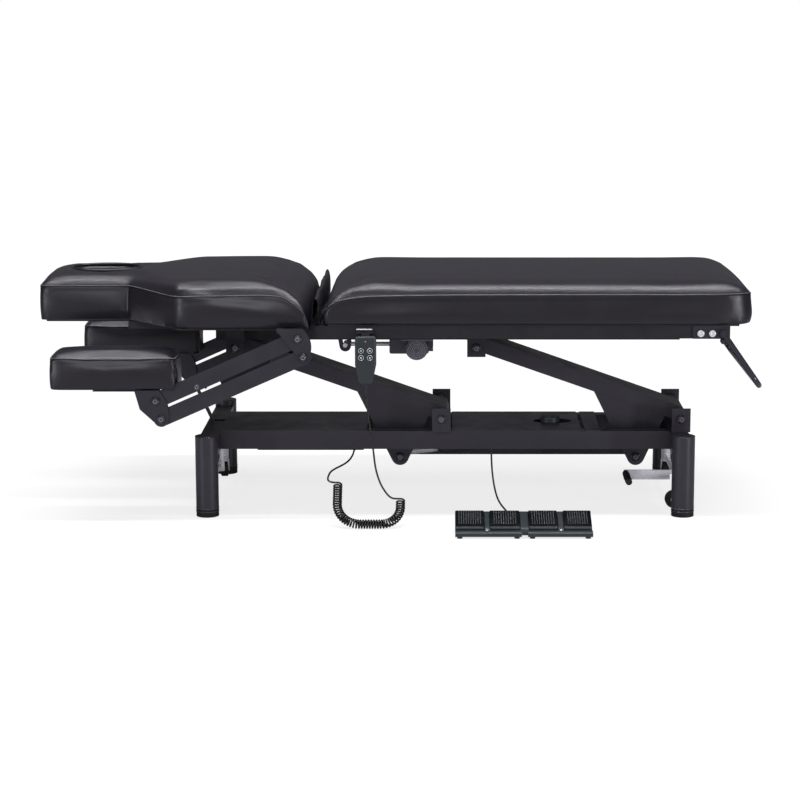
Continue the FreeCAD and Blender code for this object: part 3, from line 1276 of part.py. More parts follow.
def make_roll_plates():
    """End plates on the rails, with the bar's pins, stops and two bright bolts each."""
    y1 = -LEG_FRAME_OUTER_Y
    y0 = y1 - ROLL_PLATE_THICKNESS
    plate = block(ROLL_PLATE_START, LEG_FRAME_END, y0, y1, CARRIER_TOP, LEG_FRAME_TOP)
    pin = y_rod(ROLL_PIVOT_X, ROLL_PIVOT_Z, -ROLL_Y - ROLL_RADIUS, y0, ROLL_PIN_RADIUS)
    bolts = [y_rod(x, ROLL_PIVOT_Z, y0 - PIN_HEAD, y0, ROLL_BOLT_RADIUS) for x in ROLL_BOLT_X]
    length = math.hypot(ROLL_TIP_X - ROLL_PIVOT_X, ROLL_TIP_Z - ROLL_PIVOT_Z)
    run = ((ROLL_TIP_X - ROLL_PIVOT_X) / length, (ROLL_TIP_Z - ROLL_PIVOT_Z) / length)
    away = ROLL_RADIUS + ROLL_STOP_RADIUS + SEAT
    ahead = ROLL_RADIUS + SHEET + ROLL_STOP_RADIUS
    x = ROLL_PIVOT_X + run[0] * ahead + run[1] * away
    z = ROLL_PIVOT_Z + run[1] * ahead - run[0] * away
    stop = y_rod(x, z, -ROLL_Y - ROLL_RADIUS / 2, y1, ROLL_STOP_RADIUS)
    return both_sides([fused([plate, pin, stop]), bolts[0], bolts[1]])


# Casters

def make_carriage(end):
    """Two plungers on a bridge bar; the head end one has a post for its lever."""
    x = end * LEG_SPACING_X / 2
    parts = []
    for side in (-1, 1):
        parts.append(z_rod(x, side * CASTER_Y, PLUNGER_BOTTOM, PLUNGER_TOP, PLUNGER_RADIUS))
    parts.append(y_rod(x, BRIDGE_HEIGHT, -CASTER_Y, CASTER_Y, BRIDGE_RADIUS))
    if end < 0:
        top = TOE_HINGE_Z + TOE_NOSE_REACH * math.sin(math.radians(TOE_NOSE_ANGLE)) - TOE_NOSE_RADIUS - SEAT
        parts.append(z_rod(post_x(), post_y(), BRIDGE_HEIGHT - BRIDGE_RADIUS, top, POST_RADIUS))
        parts.append(block(x - BRIDGE_RADIUS, post_x() + POST_RADIUS, post_y() - POST_RADIUS,
                           post_y() + POST_RADIUS, BRIDGE_HEIGHT - BRIDGE_RADIUS, BRIDGE_HEIGHT + BRIDGE_RADIUS))
    whole = fused(parts)
    for side in (-1, 1):
        whole = whole.cut(z_rod(x, side * CASTER_Y, PLUNGER_BOTTOM - OVERRUN, STEM_TOP + RUNNING,
                                STEM_RADIUS + RUNNING))
    return whole


def caster_place(name):
    """Swivel axis and swivel angle of one caster."""
    x = LEG_SPACING_X / 2 * (1 if name.endswith("foot") else -1)
    y = CASTER_Y * (1 if name.startswith("far") else -1)
    return x, y, SWIVEL_ANGLES[name]


def placed(shape, name):
    """Turn a caster piece that was drawn trailing along +X, and put it under its plunger."""
    x, y, angle = caster_place(name)
    shape = shape.copy()
    shape.rotate(Vector(0, 0, 0), Vector(0, 0, 1), angle)
    shape.translate(Vector(x, y, 0))
    return shape


def make_fork(name):
    """A caster's fork with its stem and axle."""
    axle_z = WHEEL_LIFT + WHEEL_RADIUS
    inner = WHEEL_WIDTH / 2 + FORK_GAP
    outer = inner + FORK_PLATE
    low = FORK_TOP - FORK_TOP_THICKNESS
    cheek = round_bar_plate((0, low), (CASTER_TRAIL, axle_z), FORK_CHEEK, inner, outer)
    cheek = cheek.cut(block(-WHEEL_RADIUS * 2, WHEEL_RADIUS * 2, 0, outer * 2, FORK_TOP, FORK_TOP * 2))
    parts = [z_rod(0, 0, low, FORK_TOP, FORK_TOP_RADIUS), z_rod(0, 0, FORK_TOP, STEM_TOP - SEAT, STEM_RADIUS),
             y_rod(CASTER_TRAIL, axle_z, -outer, outer, AXLE_RADIUS)]
    return placed(fused(parts + both_sides([cheek])), name)


def make_wheel(name):
    """A caster wheel with rounded tread edges."""
    axle_z = WHEEL_LIFT + WHEEL_RADIUS
    half = WHEEL_WIDTH / 2
    wheel = y_rod(CASTER_TRAIL, axle_z, -half, half, WHEEL_RADIUS)
    wheel = wheel.makeFillet(WHEEL_ROUND, [e for e in wheel.Edges if e.BoundBox.YLength < WELD_GAP])
    wheel = wheel.cut(y_rod(CASTER_TRAIL, axle_z, -WHEEL_WIDTH, WHEEL_WIDTH, AXLE_RADIUS + RUNNING))
    return placed(wheel, name)


def make_foot_lever():
    """The flat foot end lever with its grip; a notch in it sits over the bridge bar."""
    y0 = LEVER_Y - LEVER_THICKNESS / 2
    y1 = LEVER_Y + LEVER_THICKNESS / 2
    top = LEVER_BOTTOM + LEVER_HEIGHT
    bar = block(LEVER_END_X, LEVER_HINGE_X, y0, y1, LEVER_BOTTOM, top)
    rim = y_rod(LEVER_HINGE_X, BRIDGE_HEIGHT + SHEET, y0, y1, LEVER_RIM)
    x = LEG_SPACING_X / 2
    notch = block(x - LEVER_NOTCH_HALF, x + LEVER_NOTCH_HALF, y0 - OVERRUN, y1 + OVERRUN,
                  LEVER_BOTTOM - OVERRUN, BRIDGE_HEIGHT + BRIDGE_RADIUS + SEAT)
    lever = fused([bar, rim]).cut(notch)
    lever = lever.cut(y_rod(LEVER_HINGE_X, BRIDGE_HEIGHT, y0 - OVERRUN, y1 + OVERRUN, LEVER_PIN_RADIUS + RUNNING))
    grip_x = LEVER_END_X + OVERRUN
    grip = y_rod(grip_x, GRIP_HEIGHT, y0 - GRIP_LENGTH, y0, GRIP_RADIUS)
    rims = [e for e in grip.Edges if e.BoundBox.YLength < WELD_GAP]
    return [lever, grip.makeFillet(GRIP_RADIUS / 2, rims)]


def make_toe_lever():
    """The leaning head end lever, its hub and the nose that presses the post."""
    x = toe_x()
    y0 = TOE_Y
    y1 = TOE_Y + TOE_WIDTH
    lean = math.radians(TOE_LEAN_ANGLE)
    reach = (TOE_TOP - TOE_HINGE_Z) / math.cos(lean)
    tip = (x - reach * math.sin(lean), TOE_TOP)
    nose_angle = math.radians(TOE_NOSE_ANGLE)
    nose = (x + TOE_NOSE_REACH * math.cos(nose_angle), TOE_HINGE_Z + TOE_NOSE_REACH * math.sin(nose_angle))
    strip = round_bar_plate((x, TOE_HINGE_Z), tip, TOE_THICKNESS / 2, y0, y1)
    web = round_bar_plate((x, TOE_HINGE_Z), nose, TOE_NOSE_WEB, y0, y1)
    lobe = y_rod(nose[0], nose[1], y0, y1, TOE_NOSE_RADIUS)
    hub = y_rod(x, TOE_HINGE_Z, y0, y1, TOE_HUB_RADIUS)
    bore = y_rod(x, TOE_HINGE_Z, y0 - OVERRUN, y1 + OVERRUN, TOE_PIN_RADIUS + RUNNING)
    return fused([strip, web, lobe, hub]).cut(bore)


# Handset

def make_handset():
    """The handset's shell, with pockets for its four buttons."""
    x = HANDSET_X
    half = HANDSET_HALF_WIDTH
    neck = HANDSET_NECK_HALF
    points = [(x - neck, HANDSET_BOTTOM), (x + neck, HANDSET_BOTTOM), (x + half, HANDSET_WAIST_Z + half),
              (x + half, HANDSET_TOP), (x - half, HANDSET_TOP), (x - half, HANDSET_WAIST_Z + half)]
    shell = polygon_plate(points, HANDSET_FRONT_Y, HANDSET_BACK_Y)
    upright = [e for e in shell.Edges if e.BoundBox.YLength > half / 2]
    shell = shell.makeFillet(HANDSET_ROUND * 2, upright)
    front = [e for e in shell.Edges if abs(e.BoundBox.YMax - HANDSET_FRONT_Y) < WELD_GAP]
    shell = shell.makeFillet(HANDSET_ROUND, front)
    for bx, bz in button_places().values():
        pocket = y_rod(bx, bz, HANDSET_FRONT_Y - OVERRUN, HANDSET_FRONT_Y + BUTTON_DEPTH + BUTTON_PROUD,
                       BUTTON_RADIUS + BUTTON_PLAY)
        shell = shell.cut(pocket)
    return shell


def button_places():
    """Names and (x, z) places of the handset's buttons."""
    places = {}
    for row, z in BUTTON_ROWS.items():
        places["back_" + row] = (HANDSET_X - BUTTON_COLUMN, z)
        places["height_" + row] = (HANDSET_X + BUTTON_COLUMN, z)
    return places


def make_button(x, z):
    """A round handset button."""
    button = y_rod(x, z, HANDSET_FRONT_Y - BUTTON_PROUD, HANDSET_FRONT_Y + BUTTON_DEPTH, BUTTON_RADIUS)
    front = [e for e in button.Edges if abs(e.BoundBox.YMax - HANDSET_FRONT_Y + BUTTON_PROUD) < WELD_GAP]
    return button.makeFillet(BUTTON_PROUD / 2, front)


def make_holder():
    """The bent hanger on the rail, with a clip behind the handset's top."""
    x = HANDSET_X
    rail = -LEG_FRAME_OUTER_Y
    back = block(x - HOLDER_HALF_WIDTH, x + HOLDER_HALF_WIDTH, rail - HOLDER_THICKNESS, rail,
                 HOLDER_PLATE_Z, HOLDER_TOP)
    shelf = block(x - HOLDER_HALF_WIDTH, x + HOLDER_HALF_WIDTH, HANDSET_FRONT_Y + HANDSET_ROUND * 2, rail,
                  HOLDER_PLATE_Z, HOLDER_PLATE_Z + HOLDER_THICKNESS)
    clip_half = HOLDER_HALF_WIDTH / 2
    hook = block(x - clip_half, x + clip_half, HANDSET_BACK_Y + SEAT, HANDSET_BACK_Y + SEAT + HOLDER_THICKNESS,
                 HANDSET_TOP - HANDSET_HALF_WIDTH, HOLDER_PLATE_Z)
    tab = block(x - clip_half, x + clip_half, HANDSET_FRONT_Y + HANDSET_ROUND * 2,
                HANDSET_FRONT_Y + HANDSET_ROUND * 2 + HOLDER_THICKNESS, HANDSET_TOP + SEAT, HOLDER_PLATE_Z)
    return fused([back, shelf, hook, tab])


# Foot pedal

def yz_plate(points, x0, x1):
    """A solid with an outline in Y and Z, drawn at x0 and made as long as the gap to x1."""
    corners = [Vector(x0, y, z) for y, z in points]
    face = Part.Face(Part.makePolygon(corners + corners[:1]))
    return face.extrude(Vector(x1 - x0, 0, 0))


def make_pedal_housing():
    """Two low housings with a link between them, ridges beside the pads, and feet."""
    base = [(PEDAL_FRONT_Y, PEDAL_BASE_BOTTOM), (PEDAL_FRONT_Y, PEDAL_FRONT_TOP - PAD_NOSE),
            (PEDAL_FRONT_Y + PAD_NOSE, PEDAL_FRONT_TOP), (PAD_FRONT_EDGE_Y - PAD_NOSE * 2, PEDAL_FRONT_TOP),
            (PAD_FRONT_EDGE_Y - PAD_NOSE, PEDAL_BASE_BOTTOM + PAD_NOSE),
            (PEDAL_BACK_Y, PEDAL_BACK_TOP), (PEDAL_BACK_Y, PEDAL_BASE_BOTTOM)]
    parts = [yz_plate(base, PEDAL_START, PEDAL_LINK_START), yz_plate(base, PEDAL_LINK_END, PEDAL_END)]
    inset = PEDAL_LINK_INSET
    link = [(PEDAL_FRONT_Y + inset, PEDAL_BASE_BOTTOM + PAD_NOSE), (PEDAL_FRONT_Y + inset, PEDAL_FRONT_TOP),
            (PEDAL_BACK_Y - inset, PEDAL_BACK_TOP), (PEDAL_BACK_Y - inset, PEDAL_BASE_BOTTOM + PAD_NOSE)]
    parts.append(yz_plate(link, PEDAL_LINK_START, PEDAL_LINK_END))
    drop = DIVIDER_DROP
    ridge = [(PAD_FRONT_EDGE_Y - PAD_NOSE * 2, PEDAL_BASE_BOTTOM + PAD_NOSE),
             (PAD_FRONT_EDGE_Y - PAD_NOSE * 2, PEDAL_FRONT_TOP), (PAD_FRONT_EDGE_Y, PAD_FRONT_TOP - drop),
             (PEDAL_BACK_Y, PAD_REAR_TOP - drop), (PEDAL_BACK_Y, PEDAL_BACK_TOP - PAD_NOSE)]
    for (_, left), (right, _) in zip(PEDAL_PADS, PEDAL_PADS[1:]):
        parts.append(yz_plate(ridge, left + DIVIDER_MARGIN, right - DIVIDER_MARGIN))
    rear = [(PAD_REAR_Y + SEAT, PEDAL_BASE_BOTTOM), (PAD_REAR_Y + SEAT, PAD_REAR_TOP - drop),
            (PEDAL_BACK_Y, PAD_REAR_TOP - drop), (PEDAL_BACK_Y, PEDAL_BASE_BOTTOM)]
    parts.append(yz_plate(rear, PEDAL_START, PEDAL_END))
    end = PEDAL_LEAD[-1]
    parts.append(y_rod(end[0], end[2], PEDAL_BACK_Y - GLAND_LENGTH, end[1] - SEAT / 2, GLAND_RADIUS))
    inset = PEDAL_FOOT_INSET
    for x in (PEDAL_START + inset, PEDAL_LINK_START - inset, PEDAL_LINK_END + inset, PEDAL_END - inset):
        for y in (PEDAL_FRONT_Y + inset, PEDAL_BACK_Y - inset):
            parts.append(z_rod(x, y, 0, PEDAL_BASE_BOTTOM + PAD_NOSE, PEDAL_FOOT_RADIUS))
    parts.append(x_rod(PEDAL_START, PEDAL_END, PEDAL_HINGE_Y, PEDAL_HINGE_Z, PEDAL_PIN_RADIUS))
    return fused(parts)


def make_pedal_pad(x0, x1):
    """One tilted pedal pad; it hinges at its rear edge."""
    outline = [(PAD_REAR_Y, PAD_REAR_TOP - PAD_THICKNESS), (PAD_REAR_Y, PAD_REAR_TOP),
               (PAD_FRONT_EDGE_Y + PAD_NOSE, PAD_FRONT_TOP), (PAD_FRONT_EDGE_Y, PAD_FRONT_TOP - PAD_NOSE),
               (PAD_FRONT_EDGE_Y, PAD_FRONT_TOP - PAD_THICKNESS)]
    bore = x_rod(x0 - OVERRUN, x1 + OVERRUN, PEDAL_HINGE_Y, PEDAL_HINGE_Z, PEDAL_PIN_RADIUS + RUNNING)
    return yz_plate(outline, x0, x1).cut(bore)


# Cords

# Route of the handset lead from the control box's gland to the curly part's left end
HANDSET_LEAD_BASE = [
    (-250.0, -92.0, 147.0), (-250.3, -122.0, 146.8), (-251.5, -168.0, 145.5), (-256.0, -216.0, 143.5),
    (-265.5, -257.0, 141.0), (-280.0, -286.0, 138.0), (-297.0, -308.0, 134.0), (-309.0, -328.0, 128.0),
    (-314.0, -357.99, 108.63), (-289.4, -357.99, 108.63)]

# Route of the handset lead from the handset to the curly part's right end
HANDSET_LEAD = [
    (-210.0, -324.0, 367.0), (-209.0, -325.0, 340.0), (-205.5, -331.0, 300.0), (-200.0, -338.0, 262.0),
    (-194.5, -345.0, 226.0), (-189.5, -354.0, 190.0), (-185.0, -364.0, 150.0), (-173.6, -374.0, 113.0),
    (-158.0, -384.0, 88.0), (-142.0, -390.77, 72.22), (-122.4, -390.77, 72.22)]

# Route of the pedal's lead from under the beam to the pedal's back
PEDAL_LEAD = [
    (127.5, -95.0, 150.0), (128.5, -96.0, 113.0), (131.0, -99.5, 77.0), (136.0, -106.0, 42.0),
    (144.0, -125.0, 13.5), (153.0, -158.0, 3.2), (160.0, -200.0, 3.0), (168.0, -250.0, 3.1),
    (173.0, -302.0, 3.0), (174.5, -350.0, 3.2), (173.0, -386.0, 6.0), (172.0, -408.0, 13.0),
    (171.5, -424.0, 14.0)]


def lead_path(points, name):
    """Straight runs joined by tangent arcs, each as large as its runs allow."""
    corners = [Vector(*p) for p in points]
    edges = []
    radii = []
    start = corners[0]
    for before, corner, after in zip(corners, corners[1:], corners[2:]):
        back = before.sub(corner)
        ahead = after.sub(corner)
        turn = math.pi - back.getAngle(ahead)
        cut = 0.45 * min(back.Length, ahead.Length)
        radius = cut / math.tan(turn / 2)
        radii.append(radius)
        back.normalize()
        ahead.normalize()
        a = corner.add(back * cut)
        b = corner.add(ahead * cut)
        inward = back.add(ahead)
        inward.normalize()
        middle = corner.add(inward * (radius / math.cos(turn / 2) - radius))
        edges.append(Part.LineSegment(start, a).toShape())
        edges.append(Part.Arc(a, middle, b).toShape())
        start = b
    edges.append(Part.LineSegment(start, corners[-1]).toShape())
    print(name, "bend radii", [round(r, 1) for r in radii])
    return Part.Wire(edges)


def make_lead(points, diameter, name):
    """A plain tube along a lead's route."""
    path = lead_path(points, name)
    direction = Vector(*points[1]).sub(Vector(*points[0]))
    ring = Part.Wire([Part.Circle(Vector(*points[0]), direction, diameter / 2).toShape()])
    tube = path.makePipeShell([ring], True, False)
    expected = math.pi * diameter * diameter / 4 * path.Length
    print(name, "length", round(path.Length, 1), "volume share", round(tube.Volume / expected, 4))
    return tube


def coil_line(distance):
    """A place on the curly part's middle line, and the direction there, by distance from its right end."""
    lean = math.radians(COIL_LEAN_ANGLE)
    right = COIL_RIGHT_TOP - COIL_RIGHT_BEND
    right_arc = COIL_RIGHT_BEND * math.pi / 2
    flat = (COIL_RIGHT_X - COIL_RIGHT_BEND) - (COIL_LEFT_X + COIL_LEFT_BEND)
    left_arc = COIL_LEFT_BEND * math.pi / 2
    if distance < right:
        x, up, dx, dup = COIL_RIGHT_X, COIL_RIGHT_TOP - distance, 0.0, -1.0
    elif distance < right + right_arc:
        a = (distance - right) / COIL_RIGHT_BEND
        x = COIL_RIGHT_X - COIL_RIGHT_BEND * (1 - math.cos(a))
        up = COIL_RIGHT_BEND * (1 - math.sin(a))
        dx, dup = -math.sin(a), -math.cos(a)
    elif distance < right + right_arc + flat:
        x = COIL_RIGHT_X - COIL_RIGHT_BEND - (distance - right - right_arc)
        up, dx, dup = 0.0, -1.0, 0.0
    elif distance < right + right_arc + flat + left_arc:
        a = (distance - right - right_arc - flat) / COIL_LEFT_BEND
        x = COIL_LEFT_X + COIL_LEFT_BEND * (1 - math.sin(a))
        up = COIL_LEFT_BEND * (1 - math.cos(a))
        dx, dup = -math.cos(a), math.sin(a)
    else:
        x = COIL_LEFT_X
        up = COIL_LEFT_BEND + distance - right - right_arc - flat - left_arc
        dx, dup = 0.0, 1.0
    place = Vector(x, COIL_FLOOR_Y + up * math.sin(lean), COIL_FLOOR_Z + up * math.cos(lean))
    return place, Vector(dx, dup * math.sin(lean), dup * math.cos(lean))


def coil_length():
    """Length of the curly part's middle line."""
    flat = (COIL_RIGHT_X - COIL_RIGHT_BEND) - (COIL_LEFT_X + COIL_LEFT_BEND)
    bends = (COIL_RIGHT_BEND + COIL_LEFT_BEND) * math.pi / 2
    return COIL_RIGHT_TOP - COIL_RIGHT_BEND + COIL_LEFT_TOP - COIL_LEFT_BEND + flat + bends


def coil_point(turns):
    """A place on the curl itself."""
    lean = math.radians(COIL_LEAN_ANGLE)
    place, ahead = coil_line(turns * coil_length() / COIL_TURNS)
    out = Vector(0, -math.cos(lean), math.sin(lean))
    side = ahead.cross(out)
    angle = -2 * math.pi * turns
    return place.add(out * (COIL_RADIUS * math.cos(angle))).add(side * (COIL_RADIUS * math.sin(angle)))


def coil_heading(turns):
    """Direction of the curl at a place."""
    step = 0.001
    low = max(turns - step, 0)
    high = min(turns + step, COIL_TURNS)
    heading = coil_point(high).sub(coil_point(low))
    heading.normalize()
    return heading


def biarc(p0, t0, p1, t1):
    """Two arcs from p0 to p1 that leave along t0 and arrive along t1."""
    v = p1.sub(p0)
    t = t0.add(t1)
    a = 2 * (1 - t0.dot(t1))
    vt = v.dot(t)
    d = (-vt + math.sqrt(vt * vt + a * v.dot(v))) / a
    q0 = p0.add(t0 * d)
    q1 = p1.sub(t1 * d)
    joint = q0.add(q1) * 0.5
    return [arc_between(p0, q0, joint), arc_between(joint, q1, p1)]


def arc_between(start, corner, end):
    """The arc that touches start to corner at start and corner to end at end."""
    chord_middle = start.add(end) * 0.5
    rise = corner.sub(chord_middle)
    half = end.sub(start).Length / 2
    turn = math.atan2(rise.Length, half)
    height = half * math.tan(turn / 2)
    rise.normalize()
    return Part.Arc(start, chord_middle.add(rise * height), end).toShape()


def make_coil():
    """The curly part: one unbroken tube with straight ends one diameter long."""
    quarters = COIL_TURNS * 4
    edges = []
    first = coil_point(0)
    start = Vector(COIL_RIGHT_X - LEAD_DIAMETER, first.y, first.z)
    last = coil_point(COIL_TURNS)
    end = Vector(COIL_LEFT_X - LEAD_DIAMETER, last.y, last.z)
    side = Vector(1, 0, 0)
    edges.append(Part.LineSegment(start, first).toShape())
    for i in range(quarters):
        a = i / 4.0
        b = (i + 1) / 4.0
        t0 = side if i == 0 else coil_heading(a)
        t1 = side * -1 if i == quarters - 1 else coil_heading(b)
        edges += biarc(coil_point(a), t0, coil_point(b), t1)
    edges.append(Part.LineSegment(last, end).toShape())
    path = Part.Wire(edges)
    radius = LEAD_DIAMETER / 2
    corners = []
    for i in range(COIL_SIDES):
        angle = 2 * math.pi * (i + 0.5) / COIL_SIDES
        corners.append(start.add(Vector(0, radius * math.cos(angle), radius * math.sin(angle))))
    section = Part.makePolygon(corners + corners[:1])
    coil = path.makePipeShell([section], True, False)
    print("curly part: wire length", round(path.Length, 1), "least gap", round(coil_gap(), 2),
          "ends", start, end)
    return coil


def coil_gap():
    """Least gap between one turn and the next, measured on points of the curl."""
    steps = 48
    points = [coil_point(i / steps) for i in range(COIL_TURNS * steps + 1)]
    least = min(points[i].distanceToPoint(points[j]) for i in range(len(points))
                for j in range(i + steps // 2, min(i + steps * 3 // 2 + 1, len(points))))
    return least - LEAD_DIAMETER


def main():
    """Build every node and write it to parts."""
    os.makedirs("parts", exist_ok=True)
    save("base_frame", make_base_frame())
    save("legs", make_legs())
    save("leg_feet", make_feet())
    save("beam_covers", make_covers())
    save("base_pivot_pins", make_base_pins())
    save("control_box", [make_control_box(), make_pedal_gland()])
    for end, pivot_x in (("head", HEAD_PIVOT_X), ("foot", FOOT_PIVOT_X)):
        save("lift_arm_" + end, [make_arm(pivot_x), make_crank_pin(pivot_x)])
    save("tie_bar", make_tie_bar())
    save("lift_motor", make_lift_motor())
    save("lift_rod", make_lift_rod())
    save("carrier_frame", make_carrier_frame())
    save("upper_pins", make_upper_pins())
    save("leg_frame", make_leg_frame())
    save("leg_board", make_leg_board())
    save("leg_cushion", make_leg_cushion())
    save("hinge_flap", make_hinge_flap())
    save("back_frame", make_back_frame())
    save("back_board", make_back_board())
    save("back_cushion", make_back_cushion())
    save("back_motor", make_back_motor())
    save("back_rod", make_back_rod())
    save("armrest_plates", both_sides(make_frame_plates()))
    top, low, pad_top, pad_low = link_pins()
    sides = {"near": lambda shapes: shapes, "far": lambda shapes: [mirrored(s) for s in shapes]}
    for side, put in sides.items():
        save("armrest_upper_link_" + side, put([make_link(pad_top, top, True)]))
        save("armrest_lower_link_" + side, put([make_link(pad_low, low, False)]))
        save("armrest_bracket_" + side, put(make_pad_bracket()))
        save("armrest_pad_" + side, put([make_pad()]))
    save("roll_bar", make_roll_bar())
    save("roll_bar_plates", make_roll_plates())
    save("caster_carriage_head", make_carriage(-1))
    save("caster_carriage_foot", make_carriage(1))
    for name in SWIVEL_ANGLES:
        save("caster_fork_" + name, make_fork(name))
        save("caster_wheel_" + name, make_wheel(name))
    save("caster_lever_foot", make_foot_lever())
    save("caster_lever_head", make_toe_lever())
    save("handset_shell", make_handset())
    save("handset_holder", make_holder())
    for name, (x, z) in button_places().items():
        save("handset_button_" + name, make_button(x, z))
    save("pedal_housing", make_pedal_housing())
    for number, (x0, x1) in enumerate(PEDAL_PADS, 1):
        save("pedal_pad_" + str(number), make_pedal_pad(x0, x1))
    save("handset_lead_base", make_lead(HANDSET_LEAD_BASE, LEAD_DIAMETER, "handset lead at the base"))
    save("handset_lead", make_lead(HANDSET_LEAD, LEAD_DIAMETER, "handset lead"))
    save("handset_lead_curl", make_coil())
    save("pedal_lead", make_lead(PEDAL_LEAD, PEDAL_LEAD_DIAMETER, "pedal lead"))


main()
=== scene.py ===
"""Looks of the electric chiropractic table: upholstery, cords, fittings, finishes and the studio."""

import json
import math

import bpy
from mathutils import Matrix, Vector
from mathutils.kdtree import KDTree


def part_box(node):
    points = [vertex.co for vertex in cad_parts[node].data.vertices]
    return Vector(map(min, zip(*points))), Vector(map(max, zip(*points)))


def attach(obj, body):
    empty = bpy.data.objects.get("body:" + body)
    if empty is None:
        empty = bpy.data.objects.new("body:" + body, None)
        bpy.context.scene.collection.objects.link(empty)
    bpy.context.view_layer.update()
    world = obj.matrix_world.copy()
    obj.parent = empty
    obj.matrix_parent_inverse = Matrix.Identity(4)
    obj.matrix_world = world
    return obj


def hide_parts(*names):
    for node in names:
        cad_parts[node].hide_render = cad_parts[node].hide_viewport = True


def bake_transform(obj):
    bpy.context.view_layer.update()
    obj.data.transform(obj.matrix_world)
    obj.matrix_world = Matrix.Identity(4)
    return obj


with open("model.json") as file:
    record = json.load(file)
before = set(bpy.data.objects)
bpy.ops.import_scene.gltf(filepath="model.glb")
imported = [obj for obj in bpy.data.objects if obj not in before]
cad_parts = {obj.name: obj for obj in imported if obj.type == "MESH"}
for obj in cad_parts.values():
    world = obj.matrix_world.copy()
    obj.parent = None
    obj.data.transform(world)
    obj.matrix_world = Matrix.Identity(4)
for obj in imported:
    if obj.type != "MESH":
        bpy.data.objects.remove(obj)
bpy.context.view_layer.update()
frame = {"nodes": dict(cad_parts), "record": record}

bl_info = {
    "name": "Chiropractic table dresser",
    "version": (1, 0, 0),
    "blender": (4, 5, 0),
    "location": "3D View > Sidebar > Table",
    "description": "Adds upholstery, cords, fittings and finishes to the packed treatment table",
    "category": "Object",
}

MM = 0.001


def length_property(name, description, metres):
    """A length setting."""
    return bpy.props.FloatProperty(name=name, description=description, default=metres, unit="LENGTH")


class TableSizes(bpy.types.PropertyGroup):
    """Sizes that a user would change."""

    cushion_voxel: length_property(
        "Cushion voxel", "Mesh size of the two long cushions before they are puffed up", 0.010)
    pad_voxel: length_property("Pad voxel", "Mesh size of the armrest pads before they are puffed up", 0.006)
    swell: length_property("Swell", "How far the foam may push the cover out", 0.005)
    welt: length_property("Welt", "Radius of the sewn edge along the seams", 0.0012)
    seam_stand: length_property("Seam stand", "How far a sewn edge stands out", 0.0016)
    seam_width: length_property("Seam width", "How far from a seam the cover is moved", 0.014)
    lead_diameter: length_property("Handset lead", "Diameter of the handset's lead", 0.0050)
    pedal_lead_diameter: length_property("Pedal lead", "Diameter of the pedal's lead", 0.005)


def hex_default(text):
    """An sRGB hex colour as linear red, green and blue."""
    parts = [int(text[i:i + 2], 16) / 255 for i in (1, 3, 5)]
    return [c / 12.92 if c <= 0.04045 else ((c + 0.055) / 1.055) ** 2.4 for c in parts]


def colour_property(name, description, text):
    """A colour setting whose default is an sRGB hex value."""
    return bpy.props.FloatVectorProperty(
        name=name, description=description, subtype="COLOR", size=3, min=0, max=1, default=hex_default(text))


class TableColours(bpy.types.PropertyGroup):
    """Colours that a user would change."""

    vinyl: colour_property("Vinyl", "Upholstery", "#1A181F")
    powder_coat: colour_property("Powder coat", "Painted steel", "#2F2D34")
    abs_black: colour_property("Moulding", "Handset and pedal mouldings", "#293133")
    rubber: colour_property("Rubber", "Feet, wheels and grip", "#1B1B1C")
    plated: colour_property("Plated steel", "Zinc and chrome plated parts", "#EDEDF0")
    blackened: colour_property("Blackened steel", "Pins and rods", "#4A4A4F")
    sheath: colour_property("Cable sheath", "Leads", "#0C0C0D")
    floor: colour_property("Floor", "Studio floor", "#F6F6F6")


def sizes():
    """The size settings."""
    return bpy.context.scene.table_sizes


def colours():
    """The colour settings."""
    return bpy.context.scene.table_colours


# Working with objects

def new_object(name, data):
    """An object with its data, put in the scene."""
    item = bpy.data.objects.new(name, data)
    bpy.context.collection.objects.link(item)
    return item


def activate(piece):
    """Only this piece is selected, and it is the active one."""
    for item in list(bpy.context.selected_objects):
        item.select_set(False)
    piece.select_set(True)
    bpy.context.view_layer.objects.active = piece


def place_in_mesh(piece):
    """Puts the piece's place, turn and size into its mesh."""
    activate(piece)
    bpy.ops.object.transform_apply(location=True, rotation=True, scale=True)


def dress(piece, name, body, finish, angle=None):
    """Names a finished piece, gives it its finish, smooths it up to an angle and lets it ride on a body."""
    if angle:
        smooth(piece, angle)
    piece.name = name
    piece.data.name = name
    piece.data.materials.clear()
    piece.data.materials.append(FINISHES[finish])
    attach(piece, body)


def apply_modifier(piece, kind, **settings):
    """Adds a modifier with its settings and applies it."""
    activate(piece)
    bpy.ops.object.modifier_add(type=kind)
    modifier = piece.modifiers[-1]
    for key, value in settings.items():
        setattr(modifier, key, value)
    bpy.ops.object.modifier_apply(modifier=modifier.name)


def smooth(piece, angle):
    """Smooth shading with creases kept."""
    activate(piece)
    bpy.ops.object.shade_smooth_by_angle(angle=math.radians(angle))


def select_faces(piece, test):
    """Selects the faces whose middle passes a test, in face mode, and leaves edit mode open."""
    activate(piece)
    bpy.ops.object.mode_set(mode="EDIT")
    bpy.ops.mesh.select_mode(type="FACE")
    bpy.ops.mesh.select_all(action="DESELECT")
    bpy.ops.object.mode_set(mode="OBJECT")
    for face in piece.data.polygons:
        face.select = test(face)
    bpy.ops.object.mode_set(mode="EDIT")


# Working with materials

def add_node(tree, kind, inputs=None, **settings):
    """Adds a node with its settings; inputs maps a socket to a value or to a socket to link from."""
    item = tree.nodes.new(kind)
    for key, value in settings.items():
        setattr(item, key, value)
    for socket, value in (inputs or {}).items():
        if isinstance(value, bpy.types.NodeSocket):
            tree.links.new(value, item.inputs[socket])
        else:
            item.inputs[socket].default_value = value
    return item


